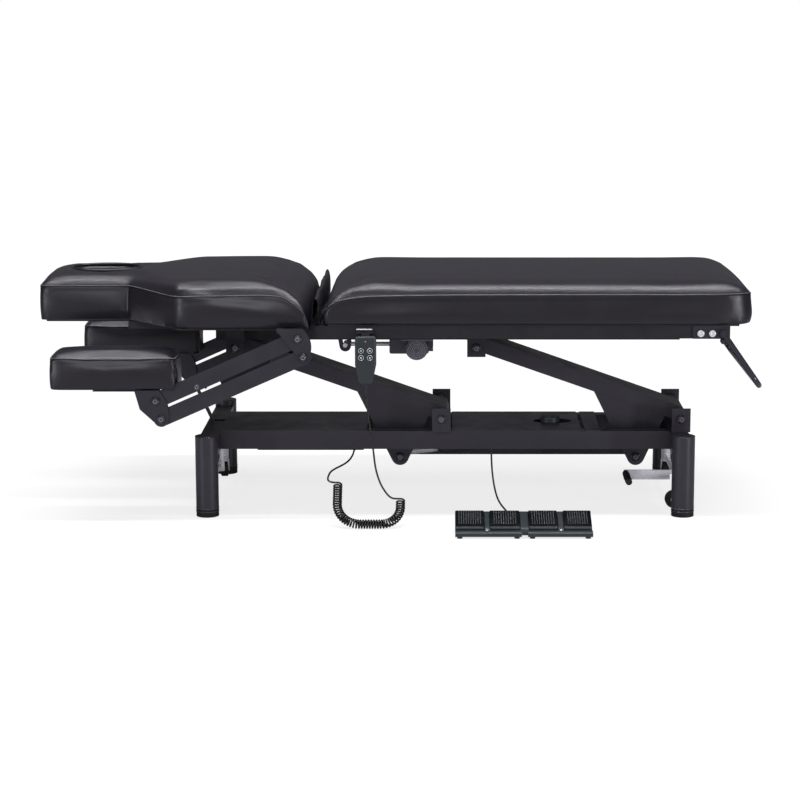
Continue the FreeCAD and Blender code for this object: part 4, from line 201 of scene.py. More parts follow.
def new_material(name):
    """An empty node material with its output."""
    material = bpy.data.materials.new(name)
    material.use_nodes = True
    tree = material.node_tree
    tree.nodes.clear()
    output = add_node(tree, "ShaderNodeOutputMaterial")
    return material, tree, output


def per_metre(millimetres):
    """Pattern scale for a feature of that size."""
    return 1.0 / (millimetres * MM)


def rgba(colour, lift=1.0):
    """A colour with alpha, lightened by a factor."""
    return tuple(min(1.0, c * lift) for c in colour) + (1.0,)


def surface(name, colour, roughness, grain_mm, bump_mm, metallic=0.0, colour_spread=0.15, coat=0.0,
            specular=0.5):
    """A finish with fine grain in the bump, and slow patches in roughness and colour."""
    spread = 0.06
    patch_mm = 60.0
    material, tree, output = new_material(name)
    place = add_node(tree, "ShaderNodeTexCoord").outputs["Object"]
    patches = add_node(tree, "ShaderNodeTexNoise", {
        "Vector": place, "Scale": per_metre(patch_mm), "Detail": 4.0})
    rough = add_node(tree, "ShaderNodeMapRange", {
        "Value": patches.outputs["Fac"], "From Min": 0.3, "From Max": 0.7,
        "To Min": max(0.02, roughness - spread), "To Max": roughness + spread})
    tint = add_node(tree, "ShaderNodeMix", {
        0: patches.outputs["Fac"], 6: rgba(colour, 1 - colour_spread), 7: rgba(colour, 1 + colour_spread)},
        data_type="RGBA")
    grain = add_node(tree, "ShaderNodeTexNoise", {
        "Vector": place, "Scale": per_metre(grain_mm), "Detail": 2.0})
    bump = add_node(tree, "ShaderNodeBump", {
        "Height": grain.outputs["Fac"], "Distance": bump_mm * MM, "Strength": 0.6})
    shader = add_node(tree, "ShaderNodeBsdfPrincipled", {
        "Base Color": tint.outputs[2], "Roughness": rough.outputs["Result"], "Metallic": metallic,
        "Normal": bump.outputs["Normal"], "Coat Weight": coat, "Coat Roughness": 0.15,
        "Specular IOR Level": specular})
    tree.links.new(shader.outputs[0], output.inputs[0])
    return material


def embossed_vinyl():
    """Vinyl-coated upholstery fabric: embossed leather grain, a soft satin sheen and slow tension marks."""
    material, tree, output = new_material("embossed_vinyl")
    colour = colours().vinyl
    place = add_node(tree, "ShaderNodeTexCoord").outputs["Object"]
    # The real grain is about 0.8 mm; it is drawn at 2.4 mm so that it shows
    cells = add_node(tree, "ShaderNodeTexVoronoi", {"Vector": place, "Scale": per_metre(2.4)},
                     feature="DISTANCE_TO_EDGE")
    creases = add_node(tree, "ShaderNodeMapRange", {"Value": cells.outputs["Distance"], "From Max": 0.12})
    fine = add_node(tree, "ShaderNodeTexNoise", {"Vector": place, "Scale": per_metre(1.2), "Detail": 3.0})
    slow = add_node(tree, "ShaderNodeTexNoise", {"Vector": place, "Scale": per_metre(110.0), "Detail": 2.0,
                                                 "Distortion": 0.4})
    emboss = add_node(tree, "ShaderNodeBump", {
        "Height": creases.outputs["Result"], "Distance": 0.12 * MM, "Strength": 0.5})
    pores = add_node(tree, "ShaderNodeBump", {
        "Height": fine.outputs["Fac"], "Distance": 0.10 * MM, "Strength": 0.5,
        "Normal": emboss.outputs["Normal"]})
    tension = add_node(tree, "ShaderNodeBump", {
        "Height": slow.outputs["Fac"], "Distance": 1.0 * MM, "Strength": 0.15,
        "Normal": pores.outputs["Normal"]})
    rough = add_node(tree, "ShaderNodeMapRange", {
        "Value": slow.outputs["Fac"], "From Min": 0.3, "From Max": 0.7, "To Min": 0.31, "To Max": 0.36})
    tint = add_node(tree, "ShaderNodeMix", {
        0: slow.outputs["Fac"], 6: rgba(colour, 0.94), 7: rgba(colour, 1.06)}, data_type="RGBA")
    shader = add_node(tree, "ShaderNodeBsdfPrincipled", {
        "Base Color": tint.outputs[2], "Roughness": rough.outputs["Result"],
        "Normal": tension.outputs["Normal"], "Specular IOR Level": 0.5})
    tree.links.new(shader.outputs[0], output.inputs[0])
    return material


def glowing(name, text, strength):
    """A small lit lens."""
    material, tree, output = new_material(name)
    colour = tuple(hex_default(text)) + (1.0,)
    shader = add_node(tree, "ShaderNodeBsdfPrincipled", {
        "Base Color": colour, "Roughness": 0.25, "Emission Color": colour, "Emission Strength": strength})
    tree.links.new(shader.outputs[0], output.inputs[0])
    return material


# Finishes: a colour setting or a hex colour, roughness, grain and bump height in mm, and what else differs
PLAIN_FINISHES = {
    # Powder coat on welded steel: even, satin, with a faint orange peel
    "powder_coat": ("powder_coat", 0.36, 1.6, 0.05, {"specular": 0.45}),
    # Powder coat darker for the leg and carrier frames: painted shade under the cushions
    "dark_coat": ("#222126", 0.40, 1.6, 0.05, {"specular": 0.4}),
    "gloss_coat": ("#28262D", 0.22, 3.0, 0.03, {"coat": 0.3}),
    # Zinc and chrome plating: bright, with drawn lines too fine to see and slow smudges
    "plated_steel": ("plated", 0.24, 0.8, 0.02, {"metallic": 0.25, "colour_spread": 0.05}),
    "bolt_steel": ("#55555A", 0.30, 0.8, 0.02, {"metallic": 0.4}),
    # Die-cast motor housing in grey paint, lightened further as painted light where the deck shades it; pale
    # grey for painted highlights on its cap's rings and on bolt socket rims
    "cast_grey": ("#5C5B62", 0.40, 1.2, 0.05, {}),
    "cast_edge": ("#8C8B92", 0.35, 1.2, 0.03, {}),
    # Black oxide: dark metal with an oily gloss
    "black_oxide": ("blackened", 0.24, 0.8, 0.03, {"metallic": 0.9}),
    # Moulded ABS: spark-eroded grain, soft gloss; the pads are polished, their dots and lips pale as painted
    # highlights
    "moulded_abs": ("abs_black", 0.42, 0.9, 0.06, {}),
    "polished_abs": ("#0D1011", 0.26, 6.0, 0.03, {"coat": 0.2}),
    "worn_dots": ("#70777A", 0.35, 1.0, 0.02, {}),
    "grey_lip": ("#474D4F", 0.40, 1.5, 0.03, {}),
    # Rubber: dull, dusty, dark
    "rubber": ("rubber", 0.62, 1.2, 0.08, {"specular": 0.35}),
    # Silicone keys with their print, and cable sheath: smooth and slightly soft
    "silicone_keys": ("#2A3032", 0.45, 0.7, 0.02, {}),
    "pale_print": ("#C3C8CA", 0.40, 1.0, 0.01, {}),
    "white_print": ("#D9DADB", 0.50, 1.0, 0.01, {}),
    "pvc_sheath": ("sheath", 0.34, 1.0, 0.02, {}),
    # Stained plywood: dull black with faint grain
    "stained_board": ("#161514", 0.62, 3.0, 0.10, {}),
    # Sewn edge of the vinyl, darker as painted shade in the seam's crease, and its polyester thread
    "seam_edge": ("#0D0C0F", 0.45, 1.4, 0.12, {"specular": 0.3}),
    "sewing_thread": ("#7B7A81", 0.45, 0.9, 0.10, {}),
}

# The finish of each material slot of the solids, and the solids that have another one
SLOT_FINISHES = {
    "frame_paint": "powder_coat", "upholstery": "embossed_vinyl", "board": "stained_board",
    "foot_rubber": "rubber", "dark_steel": "black_oxide", "bright_steel": "plated_steel",
    "wheel_rubber": "rubber", "black_plastic": "moulded_abs", "button_grey": "silicone_keys",
    "pedal_top": "polished_abs", "lead_sheath": "pvc_sheath", "gloss_paint": "gloss_coat"}
# The leg and carrier frames take the darker coat as painted shade under the cushions; the motor is painted
# lighter against the deck's shade
OWN_FINISHES = {
    "back_rod": "plated_steel", "handset_holder": "black_oxide", "lift_rod": "plated_steel",
    "back_motor": "cast_grey", "leg_frame": "dark_coat", "carrier_frame": "dark_coat",
    "caster_lever_head": "powder_coat"}

FINISHES = {}


class TABLE_OT_finishes(bpy.types.Operator):
    """Makes every finish and gives the rigid nodes theirs"""

    bl_idname = "table.finishes"
    bl_label = "Finishes"

    def execute(self, context):
        for name, (tone, roughness, grain, bump, more) in PLAIN_FINISHES.items():
            colour = hex_default(tone) if tone.startswith("#") else getattr(colours(), tone)
            FINISHES[name] = surface(name, colour, roughness, grain, bump, **more)
        FINISHES["embossed_vinyl"] = embossed_vinyl()
        FINISHES["red_lens"] = glowing("red_lens", "#D9777B", 0.35)
        for part in frame["record"]["subparts"]:
            finish = FINISHES[OWN_FINISHES.get(part["node"], SLOT_FINISHES[part["material_slot"]])]
            for slot in frame["nodes"][part["node"]].material_slots:
                slot.material = finish
        return {"FINISHED"}


# Upholstery

# The thread beside a seam, and the face hole: its middle, half its length and half its width
THREAD_RISE = 0.0032
THREAD_SEAT = 0.0002
THREAD_RADIUS = 0.0007
FACE_HOLE = (-0.936, 0.096, 0.074)
FACE_HOLE_RIM = 0.0042

# The backrest's cover is lifted from the head end up to each of these places, by this much. The lift
# grows between the two levels, and fades out over these lengths at the head end and at the place.
HEAD_END = -1.11
CROWN_LIFTS = ((-0.36, 0.004), (-0.80, 0.005))
CROWN_LEVELS = (0.600, 0.630)
CROWN_FADES = (0.08, 0.06)


def upholstery_copy(node, name):
    """A new piece with a closed copy of a node's mesh."""
    piece = new_object(name, frame["nodes"][node].data.copy())
    activate(piece)
    bpy.ops.object.mode_set(mode="EDIT")
    bpy.ops.mesh.select_all(action="SELECT")
    bpy.ops.mesh.remove_doubles(threshold=0.02 * MM)
    bpy.ops.object.mode_set(mode="OBJECT")
    return piece


def puff(piece, voxel, cap, base, pressure, slack, wrap=0.0, hole=None):
    """Puffs a foam core up under its cover by cloth simulation.

    The stapled underside is held, and so is the wall of a hole.
    """
    activate(piece)
    bpy.ops.object.mode_set(mode="EDIT")
    bpy.ops.mesh.select_all(action="SELECT")
    bpy.ops.transform.shrink_fatten(value=-cap * 0.3)
    bpy.ops.object.mode_set(mode="OBJECT")
    apply_modifier(piece, "REMESH", mode="VOXEL", voxel_size=voxel)
    apply_modifier(piece, "SMOOTH", factor=0.5, iterations=3)
    mesh = piece.data
    for vertex in mesh.vertices:
        if vertex.co.z < base + voxel * 1.2:
            vertex.co.z -= wrap
    held = piece.vertex_groups.new(name="stapled")
    held.add([v.index for v in mesh.vertices if v.co.z < base - wrap + voxel * 0.7], 1.0, "REPLACE")
    if hole:
        middle, half_length, half_width = hole
        wall = [v.index for v in mesh.vertices
                if math.hypot((v.co.x - middle) / half_length, v.co.y / half_width) < 1.12]
        held.add(wall, 1.0, "REPLACE")
    steps = 14
    start = [v.co.copy() for v in mesh.vertices]
    activate(piece)
    bpy.ops.object.modifier_add(type="CLOTH")
    modifier = piece.modifiers[-1]
    cloth = modifier.settings
    cloth.quality = 4
    cloth.mass = 0.25
    cloth.tension_stiffness = 25
    cloth.compression_stiffness = 25
    cloth.shear_stiffness = 12
    cloth.bending_stiffness = 2.0
    cloth.shrink_min = -slack
    cloth.use_pressure = True
    cloth.uniform_pressure_force = pressure
    cloth.vertex_group_mass = held.name
    cloth.effector_weights.gravity = 0
    modifier.collision_settings.use_collision = False
    modifier.point_cache.frame_end = steps + 1
    scene = bpy.context.scene
    for step in range(1, steps + 1):
        scene.frame_set(step)
    bpy.ops.object.modifier_apply(modifier=modifier.name)
    scene.frame_set(1)
    for vertex, before in zip(piece.data.vertices, start):
        move = vertex.co - before
        if move.length > cap:
            vertex.co = before + move * (cap / move.length)
    apply_modifier(piece, "LAPLACIANSMOOTH", lambda_factor=0.5, iterations=6)
    apply_modifier(piece, "SUBSURF", levels=1, render_levels=1)
    return piece


def raise_crown(piece, end, lift):
    """Lifts the backrest cover's upper part from the head end to a place, fading out at both."""
    low, high = CROWN_LEVELS
    head_fade, end_fade = CROWN_FADES
    for vertex in piece.data.vertices:
        if HEAD_END < vertex.co.x < end and vertex.co.z > low:
            fade = min(1.0, (end - vertex.co.x) / end_fade, (vertex.co.x - HEAD_END) / head_fade)
            vertex.co.z += lift * fade * min(1.0, (vertex.co.z - low) / (high - low))


def dense(points, step, closed=False):
    """Evenly spaced points along straight runs between the given ones."""
    result = []
    ends = points[1:] + points[:1] if closed else points[1:]
    for a, b in zip(points, ends):
        count = max(1, round((b - a).length / step))
        result += [a.lerp(b, i / count) for i in range(count)]
    if not closed:
        result.append(points[-1])
    return result


def rounded(points, closed=False, rounds=3):
    """Corners cut again and again until the line is smooth."""
    for _ in range(rounds):
        result = [] if closed else [points[0]]
        ends = points[1:] + points[:1] if closed else points[1:]
        for a, b in zip(points, ends):
            result += [a.lerp(b, 0.25), a.lerp(b, 0.75)]
        if not closed:
            result.append(points[-1])
        points = result
    return points


def on_surface(piece, points):
    """The nearest places on a piece's surface, with the normals there."""
    result = []
    for point in points:
        _, place, normal, _ = piece.closest_point_on_mesh(point)
        result.append((place.copy(), normal.copy()))
    return result


def push_out(piece, line, height, width):
    """Pushes the cover out along a sewn line, or in where the height is negative."""
    tree = KDTree(len(line))
    for index, point in enumerate(line):
        tree.insert(point, index)
    tree.balance()
    normals = [v.normal.copy() for v in piece.data.vertices]
    for vertex, normal in zip(piece.data.vertices, normals):
        _, _, distance = tree.find(vertex.co)
        if distance < width:
            share = 1 - (distance / width) ** 2
            vertex.co += normal * (height * share * share)


def tube_along(name, points, radius, resolution, kind, caps=True):
    """A curve object with a round section along points, and its spline."""
    curve = bpy.data.curves.new(name, "CURVE")
    curve.dimensions = "3D"
    curve.bevel_depth = radius
    curve.bevel_resolution = resolution
    curve.use_fill_caps = caps
    curve.resolution_u = 6
    spline = curve.splines.new(kind)
    spline.points.add(len(points) - 1)
    for item, point in zip(spline.points, points):
        item.co = (*point, 1.0)
    return new_object(name, curve), spline


def thread_tube(name, points, radius, sides, closed=False):
    """A mesh tube along points, made from a curve with a round bevel."""
    tube, spline = tube_along(name, points, radius, max(0, sides // 2 - 2), "POLY", caps=not closed)
    spline.use_cyclic_u = closed
    activate(tube)
    bpy.ops.object.convert(target="MESH")
    return bpy.context.view_layer.objects.active


def sew(piece, name, outline, body, closed=False, step=0.007, stand=None):
    """A seam: the cover is moved along a line, and a thin welt lies on it.

    A seam that stands out, where no stand is given, also has a line of thread above the welt.
    """
    s = sizes()
    line = dense(rounded([Vector(p) for p in outline], closed), step, closed)
    seats = on_surface(piece, line)
    push_out(piece, [place for place, _ in seats], s.seam_stand if stand is None else stand, s.seam_width)
    seats = on_surface(piece, line)
    points = [place + normal * (s.welt * 0.5) for place, normal in seats]
    welt = thread_tube(name, points, s.welt, 6, closed)
    # The welt is darker than the vinyl: painted shade in the seam's crease
    dress(welt, name, body, "seam_edge", 60)
    if stand is None:
        above = on_surface(piece, [place + Vector((0, 0, THREAD_RISE)) for place, _ in seats])
        points = [place + normal * THREAD_SEAT for place, normal in above]
        thread = thread_tube(name + "_thread", points, THREAD_RADIUS, 6, closed)
        dress(thread, name + "_thread", body, "sewing_thread", 60)


def finish_cover(piece, name, body, node):
    """Finishes the padded cover that stands for a soft solid."""
    dress(piece, name, body, "embossed_vinyl", 180)
    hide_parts(node)


def mirrored_line(points):
    """A line and its mirror image across the table, joined into one run."""
    return points + [(x, -y, z) for x, y, z in reversed(points)]


# Seam of the leg cushion on its near side, from the hinge to the middle of the foot end
LEG_SEAM = [
    (-0.331, -0.317, 0.545), (-0.322, -0.320, 0.566), (-0.300, -0.3225, 0.584), (-0.262, -0.3225, 0.592),
    (-0.225, -0.3225, 0.597), (-0.175, -0.3225, 0.600), (0.000, -0.3225, 0.603), (0.700, -0.3225, 0.604),
    (0.765, -0.313, 0.604), (0.800, -0.296, 0.604), (0.816, -0.262, 0.603), (0.820, -0.220, 0.603),
    (0.821, -0.100, 0.603)]

# Seam of the backrest cushion on its near side, from the hinge to the middle of the head end
BACK_SEAM = [
    (-0.359, -0.318, 0.524), (-0.372, -0.320, 0.553), (-0.393, -0.3225, 0.575), (-0.418, -0.3225, 0.594),
    (-0.446, -0.3225, 0.603), (-0.560, -0.3225, 0.602), (-0.690, -0.3225, 0.598), (-0.716, -0.315, 0.597),
    (-0.780, -0.240, 0.601), (-0.845, -0.163, 0.606), (-0.870, -0.156, 0.607), (-0.960, -0.156, 0.607),
    (-1.075, -0.154, 0.606), (-1.095, -0.142, 0.605), (-1.100, -0.120, 0.605), (-1.100, -0.060, 0.606)]

# Upright seam in the inner corner between the head part and the shoulder
NECK_SEAM = [(-0.853, -0.158, 0.604), (-0.853, -0.158, 0.560), (-0.853, -0.158, 0.520)]

# Seam of the near armrest pad, all round
PAD_SEAM = [
    (-1.030, -0.363, 0.440), (-0.722, -0.363, 0.440), (-0.708, -0.350, 0.439), (-0.706, -0.292, 0.439),
    (-0.708, -0.234, 0.439), (-0.722, -0.220, 0.440), (-1.030, -0.220, 0.440), (-1.042, -0.234, 0.439),
    (-1.044, -0.292, 0.439), (-1.042, -0.350, 0.439)]


class TABLE_OT_leg_cushion(bpy.types.Operator):
    """Makes the long cushion of the leg section with its seam"""

    bl_idname = "table.leg_cushion"
    bl_label = "Leg cushion"

    def execute(self, context):
        s = sizes()
        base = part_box("leg_cushion")[0][2]
        piece = puff(upholstery_copy("leg_cushion", "leg_cover"), s.cushion_voxel, s.swell, base,
                     pressure=3.0, slack=0.002, wrap=0.007)
        sew(piece, "leg_seam", mirrored_line(LEG_SEAM), "top_frame")
        finish_cover(piece, "leg_cover", "top_frame", "leg_cushion")
        return {"FINISHED"}


class TABLE_OT_back_cushion(bpy.types.Operator):
    """Makes the backrest cushion with its face hole and seams"""

    bl_idname = "table.back_cushion"
    bl_label = "Backrest cushion"

    def execute(self, context):
        s = sizes()
        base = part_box("back_cushion")[0][2]
        piece = puff(upholstery_copy("back_cushion", "back_cover"), s.cushion_voxel * 0.8, s.swell, base,
                     pressure=2.2, slack=0.0, wrap=0.007, hole=FACE_HOLE)
        for end, lift in CROWN_LIFTS:
            raise_crown(piece, end, lift)
        sew(piece, "back_seam", mirrored_line(BACK_SEAM), "backrest")
        for side, name in ((1, "neck_seam_near"), (-1, "neck_seam_far")):
            sew(piece, name, [(x, y * side, z) for x, y, z in NECK_SEAM], "backrest", stand=-0.002)
        self.face_hole_rim(piece)
        finish_cover(piece, "back_cover", "backrest", "back_cushion")
        return {"FINISHED"}

    def face_hole_rim(self, piece):
        """The rounded rim on the top, round the face hole."""
        middle, half_length, half_width = FACE_HOLE
        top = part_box("back_cushion")[1][2]
        count = 24
        outline = []
        for i in range(count):
            turn = 2 * math.pi * i / count
            outline.append(Vector((middle + half_length * math.cos(turn), half_width * math.sin(turn), top)))
        seats = on_surface(piece, rounded(outline, True))
        level = max(place.z for place, _ in seats) - 0.001
        points = [(place.x, place.y, level) for place, _ in seats]
        rim = thread_tube("face_hole_rim", points, FACE_HOLE_RIM, 10, closed=True)
        dress(rim, "face_hole_rim", "backrest", "embossed_vinyl", 60)


class TABLE_OT_arm_pads(bpy.types.Operator):
    """Makes the two hanging armrest pads with their seams"""

    bl_idname = "table.arm_pads"
    bl_label = "Armrest pads"

    def execute(self, context):
        s = sizes()
        for side, sign in (("near", 1), ("far", -1)):
            node = "armrest_pad_" + side
            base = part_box(node)[0][2]
            piece = puff(upholstery_copy(node, "pad_cover_" + side), s.pad_voxel, s.swell * 0.8, base,
                         pressure=2.2, slack=0.0)
            body = "armrest_" + side
            sew(piece, "pad_seam_" + side, [(x, y * sign, z) for x, y, z in PAD_SEAM], body, closed=True,
                step=0.005)
            finish_cover(piece, "pad_cover_" + side, body, node)
        return {"FINISHED"}


class TABLE_OT_hinge_flap(bpy.types.Operator):
    """Makes the folded strip of upholstery that bridges the hinge"""

    bl_idname = "table.hinge_flap"
    bl_label = "Hinge flap"

    def execute(self, context):
        low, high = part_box("hinge_flap")
        half = high[1]
        across = 48
        full_height = 0.0745
        section = [(-0.3505, 0.0), (-0.3512, 0.020), (-0.3508, 0.042), (-0.3492, 0.060), (-0.3462, 0.071),
                   (-0.3420, 0.0750), (-0.3378, 0.071), (-0.3348, 0.060), (-0.3334, 0.042), (-0.3332, 0.020),
                   (-0.3338, 0.0)]
        bottom = low[2] + 0.001
        vertices = []
        for i in range(across + 1):
            y = -half + 2 * half * i / across
            edge = 1 - abs(2 * i / across - 1)
            sag = 0.004 * math.sin(9 * math.pi * i / across) * min(1, edge * 6)
            lean = 0.0015 * math.sin(5 * math.pi * i / across)
            for x, z in section:
                share = z / full_height
                vertices.append((x + lean * share, y, bottom + z - abs(sag) * share))
        count = len(section)
        faces = [(i * count + j, i * count + j + 1, (i + 1) * count + j + 1, (i + 1) * count + j)
                 for i in range(across) for j in range(count - 1)]
        mesh = bpy.data.meshes.new("hinge_flap_cover")
        mesh.from_pydata(vertices, [], faces)
        piece = new_object("hinge_flap_cover", mesh)
        apply_modifier(piece, "SOLIDIFY", thickness=0.0016, offset=0.0)
        apply_modifier(piece, "SUBSURF", levels=1, render_levels=1)
        smooth(piece, 180)
        piece.data.materials.clear()
        piece.data.materials.append(FINISHES["embossed_vinyl"])
        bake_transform(piece)
        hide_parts("hinge_flap")
        return {"FINISHED"}


# Cords

HANDSET_LEAD_BASE = [
    (-0.2500, -0.0920, 0.1470), (-0.2503, -0.1220, 0.1468), (-0.2515, -0.1680, 0.1455),
    (-0.2560, -0.2160, 0.1435), (-0.2655, -0.2570, 0.1410), (-0.2800, -0.2860, 0.1380),
    (-0.2970, -0.3080, 0.1340), (-0.3090, -0.3280, 0.1280), (-0.3140, -0.35799, 0.10863),
    (-0.2894, -0.35799, 0.10863)]

HANDSET_LEAD = [
    (-0.2100, -0.3240, 0.3670), (-0.2090, -0.3250, 0.3400), (-0.2055, -0.3310, 0.3000),
    (-0.2000, -0.3380, 0.2620), (-0.1945, -0.3450, 0.2260), (-0.1895, -0.3540, 0.1900),
    (-0.1850, -0.3640, 0.1500), (-0.1736, -0.3740, 0.1130), (-0.1580, -0.3840, 0.0880),
    (-0.1420, -0.39077, 0.07222), (-0.1224, -0.39077, 0.07222)]

PEDAL_LEAD = [
    (0.1275, -0.0950, 0.1500), (0.1285, -0.0960, 0.1130), (0.1310, -0.0995, 0.0770),
    (0.1360, -0.1060, 0.0420), (0.1440, -0.1250, 0.0135), (0.1530, -0.1580, 0.0032),
    (0.1600, -0.2000, 0.0030), (0.1680, -0.2500, 0.0031), (0.1730, -0.3020, 0.0030),
    (0.1745, -0.3500, 0.0032), (0.1730, -0.3860, 0.0060), (0.1720, -0.4080, 0.0130),
    (0.1715, -0.4240, 0.0140)]

# Middle line of the curly part, lying in a leaning plane: straight down, round, level, round and up
COIL_LEAN = math.radians(42)
COIL_FLOOR = (-0.431, 0.0129)
COIL_RIGHT = (-0.118, 0.071, 0.050)
COIL_LEFT = (-0.285, 0.120, 0.060)
COIL_RADIUS = 0.0098
COIL_TURNS = 44


def coil_axis(distance):
    """A place on the curly part's middle line and the direction there."""
    right_x, right_top, right_bend = COIL_RIGHT
    left_x, left_top, left_bend = COIL_LEFT
    quarter = math.pi / 2
    runs = [right_top - right_bend, right_bend * quarter, (right_x - right_bend) - (left_x + left_bend),
            left_bend * quarter]
    if distance < runs[0]:
        x, up, along, climb = right_x, right_top - distance, 0.0, -1.0
    elif distance < sum(runs[:2]):
        turn = (distance - runs[0]) / right_bend
        x = right_x - right_bend * (1 - math.cos(turn))
        up = right_bend * (1 - math.sin(turn))
        along, climb = -math.sin(turn), -math.cos(turn)
    elif distance < sum(runs[:3]):
        x = right_x - right_bend - (distance - sum(runs[:2]))
        up, along, climb = 0.0, -1.0, 0.0
    elif distance < sum(runs):
        turn = (distance - sum(runs[:3])) / left_bend
        x = left_x + left_bend * (1 - math.sin(turn))
        up = left_bend * (1 - math.cos(turn))
        along, climb = -math.cos(turn), math.sin(turn)
    else:
        x, up, along, climb = left_x, left_bend + distance - sum(runs), 0.0, 1.0
    place = Vector((x, COIL_FLOOR[0] + up * math.sin(COIL_LEAN), COIL_FLOOR[1] + up * math.cos(COIL_LEAN)))
    return place, Vector((along, climb * math.sin(COIL_LEAN), climb * math.cos(COIL_LEAN)))


def coil_length():
    """Length of the curly part's middle line."""
    flat = (COIL_RIGHT[0] - COIL_RIGHT[2]) - (COIL_LEFT[0] + COIL_LEFT[2])
    bends = (COIL_RIGHT[2] + COIL_LEFT[2]) * math.pi / 2
    return COIL_RIGHT[1] - COIL_RIGHT[2] + COIL_LEFT[1] - COIL_LEFT[2] + flat + bends


def coil_points():
    """Control points of the curls, a little outside their real radius, which the spline cuts inside."""
    per_turn = 14
    out = Vector((0, -math.cos(COIL_LEAN), math.sin(COIL_LEAN)))
    radius = COIL_RADIUS * 2 / (1 + math.cos(2 * math.pi / per_turn))
    points = []
    for i in range(COIL_TURNS * per_turn + 1):
        turn = i / per_turn
        place, ahead = coil_axis(turn * coil_length() / COIL_TURNS)
        side = ahead.cross(out)
        angle = -2 * math.pi * turn
        size = COIL_RADIUS if i in (0, COIL_TURNS * per_turn) else radius
        points.append(place + out * (size * math.cos(angle)) + side * (size * math.sin(angle)))
    return points


def cord_curve(name, points, diameter, body, node_names):
    """A cord as one NURBS spline with a round section."""
    piece, spline = tube_along(name, points, diameter / 2, 3, "NURBS")
    spline.order_u = 3
    spline.use_endpoint_u = True
    piece.data.materials.append(FINISHES["pvc_sheath"])
    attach(piece, body)
    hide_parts(*node_names)
    return piece


class TABLE_OT_cords(bpy.types.Operator):
    """Lays the handset's curly lead and the pedal's lead"""

    bl_idname = "table.cords"
    bl_label = "Cords"

    def execute(self, context):
        s = sizes()
        base = cord_curve("handset_lead_lower", HANDSET_LEAD_BASE, s.lead_diameter, "base",
                          ["handset_lead_base"])
        route = [Vector(p) for p in HANDSET_LEAD[:-1]] + coil_points() + [Vector(HANDSET_LEAD_BASE[-1])]
        curly = cord_curve("handset_lead_curly", route, s.lead_diameter, "top_frame",
                           ["handset_lead", "handset_lead_curl"])
        pedal = cord_curve("pedal_lead_cover", PEDAL_LEAD, s.pedal_lead_diameter, "base", ["pedal_lead"])
        return {"FINISHED"}


# Fittings

# Outer faces that carry bolt heads, as distances from the middle plane
PLATE_FACE = 0.3536
PLATE_BACK = 0.3309
ROLL_PLATE_FACE = 0.3106
EAR_FACE = 0.1616
CRANK_FACE = 0.0676

# Radius and height of the bolt heads, and radius and wire of their washers
LINK_BOLT = (0.0084, 0.0046)
LINK_NUT = (0.0084, 0.0040)
LINK_WASHER = (0.0106, 0.0013)
PIVOT_BOLT = (0.0086, 0.0050)
PIVOT_WASHER = (0.0110, 0.0013)
ROLL_BOLT = (0.0093, 0.0044)
SMALL_BOLT = (0.0078, 0.0040)

# Small bolts and the bar behind the links' slot: places along the table and heights
ROLL_BOLTS_X = (0.676, 0.707)
ROLL_BOLTS_Z = 0.501
SMALL_BOLT_PLACE = (-0.6555, 0.3625)
SLOT_BAR_X = (-0.594, -0.461)
SLOT_BAR_DEPTH = 0.0070
SLOT_BAR_SECTION = (0.003, 0.020)

# The pedal's sloping pads from rear to front (y, z), their dots, front lips and the housing's screws
PAD_REAR = (-0.433, 0.050)
PAD_FRONT = (-0.514, 0.027)
DOT_RADIUS = 0.0013
DOT_PITCH = 0.0062
DOT_MARGIN = 0.007
LIP_PLACE = (-0.5163, 0.0225)
LIP_SECTION = (0.0022, 0.0062)
PEDAL_SCREW_RADIUS = 0.0034
PEDAL_SCREW_PLACE = (-0.5215, 0.0185)

# The handset: place of its lamp and of the painted highlight on its holder's edge (x, z), arrows and rings of
# the keys
LAMP_PLACE = (-0.210, 0.4830)
LAMP_RADIUS = 0.0017
HOLDER_HIGHLIGHT_PLACE = (-0.213, 0.5145)
HOLDER_HIGHLIGHT_SIZE = (0.042, 0.0016, 0.0030)
ARROW_RADIUS = 0.0034
ARROW_HEIGHT = 0.0006
KEY_RING = (0.0066, 0.0007)

# Middle of the motor's cap (x, z), its rings, which are pale as painted highlights, and the heights of the
# grooves in a leg's foot, where pale rings are painted highlights
MOTOR_CAP = (-0.078, 0.425)
MOTOR_RINGS = (0.008, 0.013, 0.018, 0.0235)
FOOT_GROOVES = (0.0145, 0.0225)

# Legs and casters stand at these distances from the middle, along and across the table
END_X = 0.640
LEG_Y = 0.275
CASTER_Y = 0.195
CASTER_BORE = 0.0168


def joint_place(name):
    """Where a joint of the record sits."""
    joints = frame["record"]["behaviour"]["joints"]
    return Vector(next(j["pos_m"] for j in joints if j["name"] == name))


def cut_out(piece, cutter):
    """Cuts a cutter out of a piece and removes the cutter."""
    apply_modifier(piece, "BOOLEAN", operation="DIFFERENCE", object=cutter, solver="EXACT")
    bpy.data.objects.remove(cutter)


def ball(radius, segments, rings, place=(0, 0, 0), scale=(1, 1, 1)):
    """A small ball, flattened by a scale."""
    bpy.ops.mesh.primitive_uv_sphere_add(segments=segments, ring_count=rings, radius=radius, location=place)
    piece = bpy.context.object
    piece.scale = scale
    place_in_mesh(piece)
    return piece


def bar(name, place, size, bevel, body, finish, tilt=0.0):
    """A bar with bevelled edges, tilted about the axis across the table."""
    bpy.ops.mesh.primitive_cube_add(size=1, location=place, rotation=(0, tilt, 0))
    piece = bpy.context.object
    piece.scale = size
    place_in_mesh(piece)
    apply_modifier(piece, "BEVEL", width=bevel, segments=2)
    dress(piece, name, body, finish, 40)


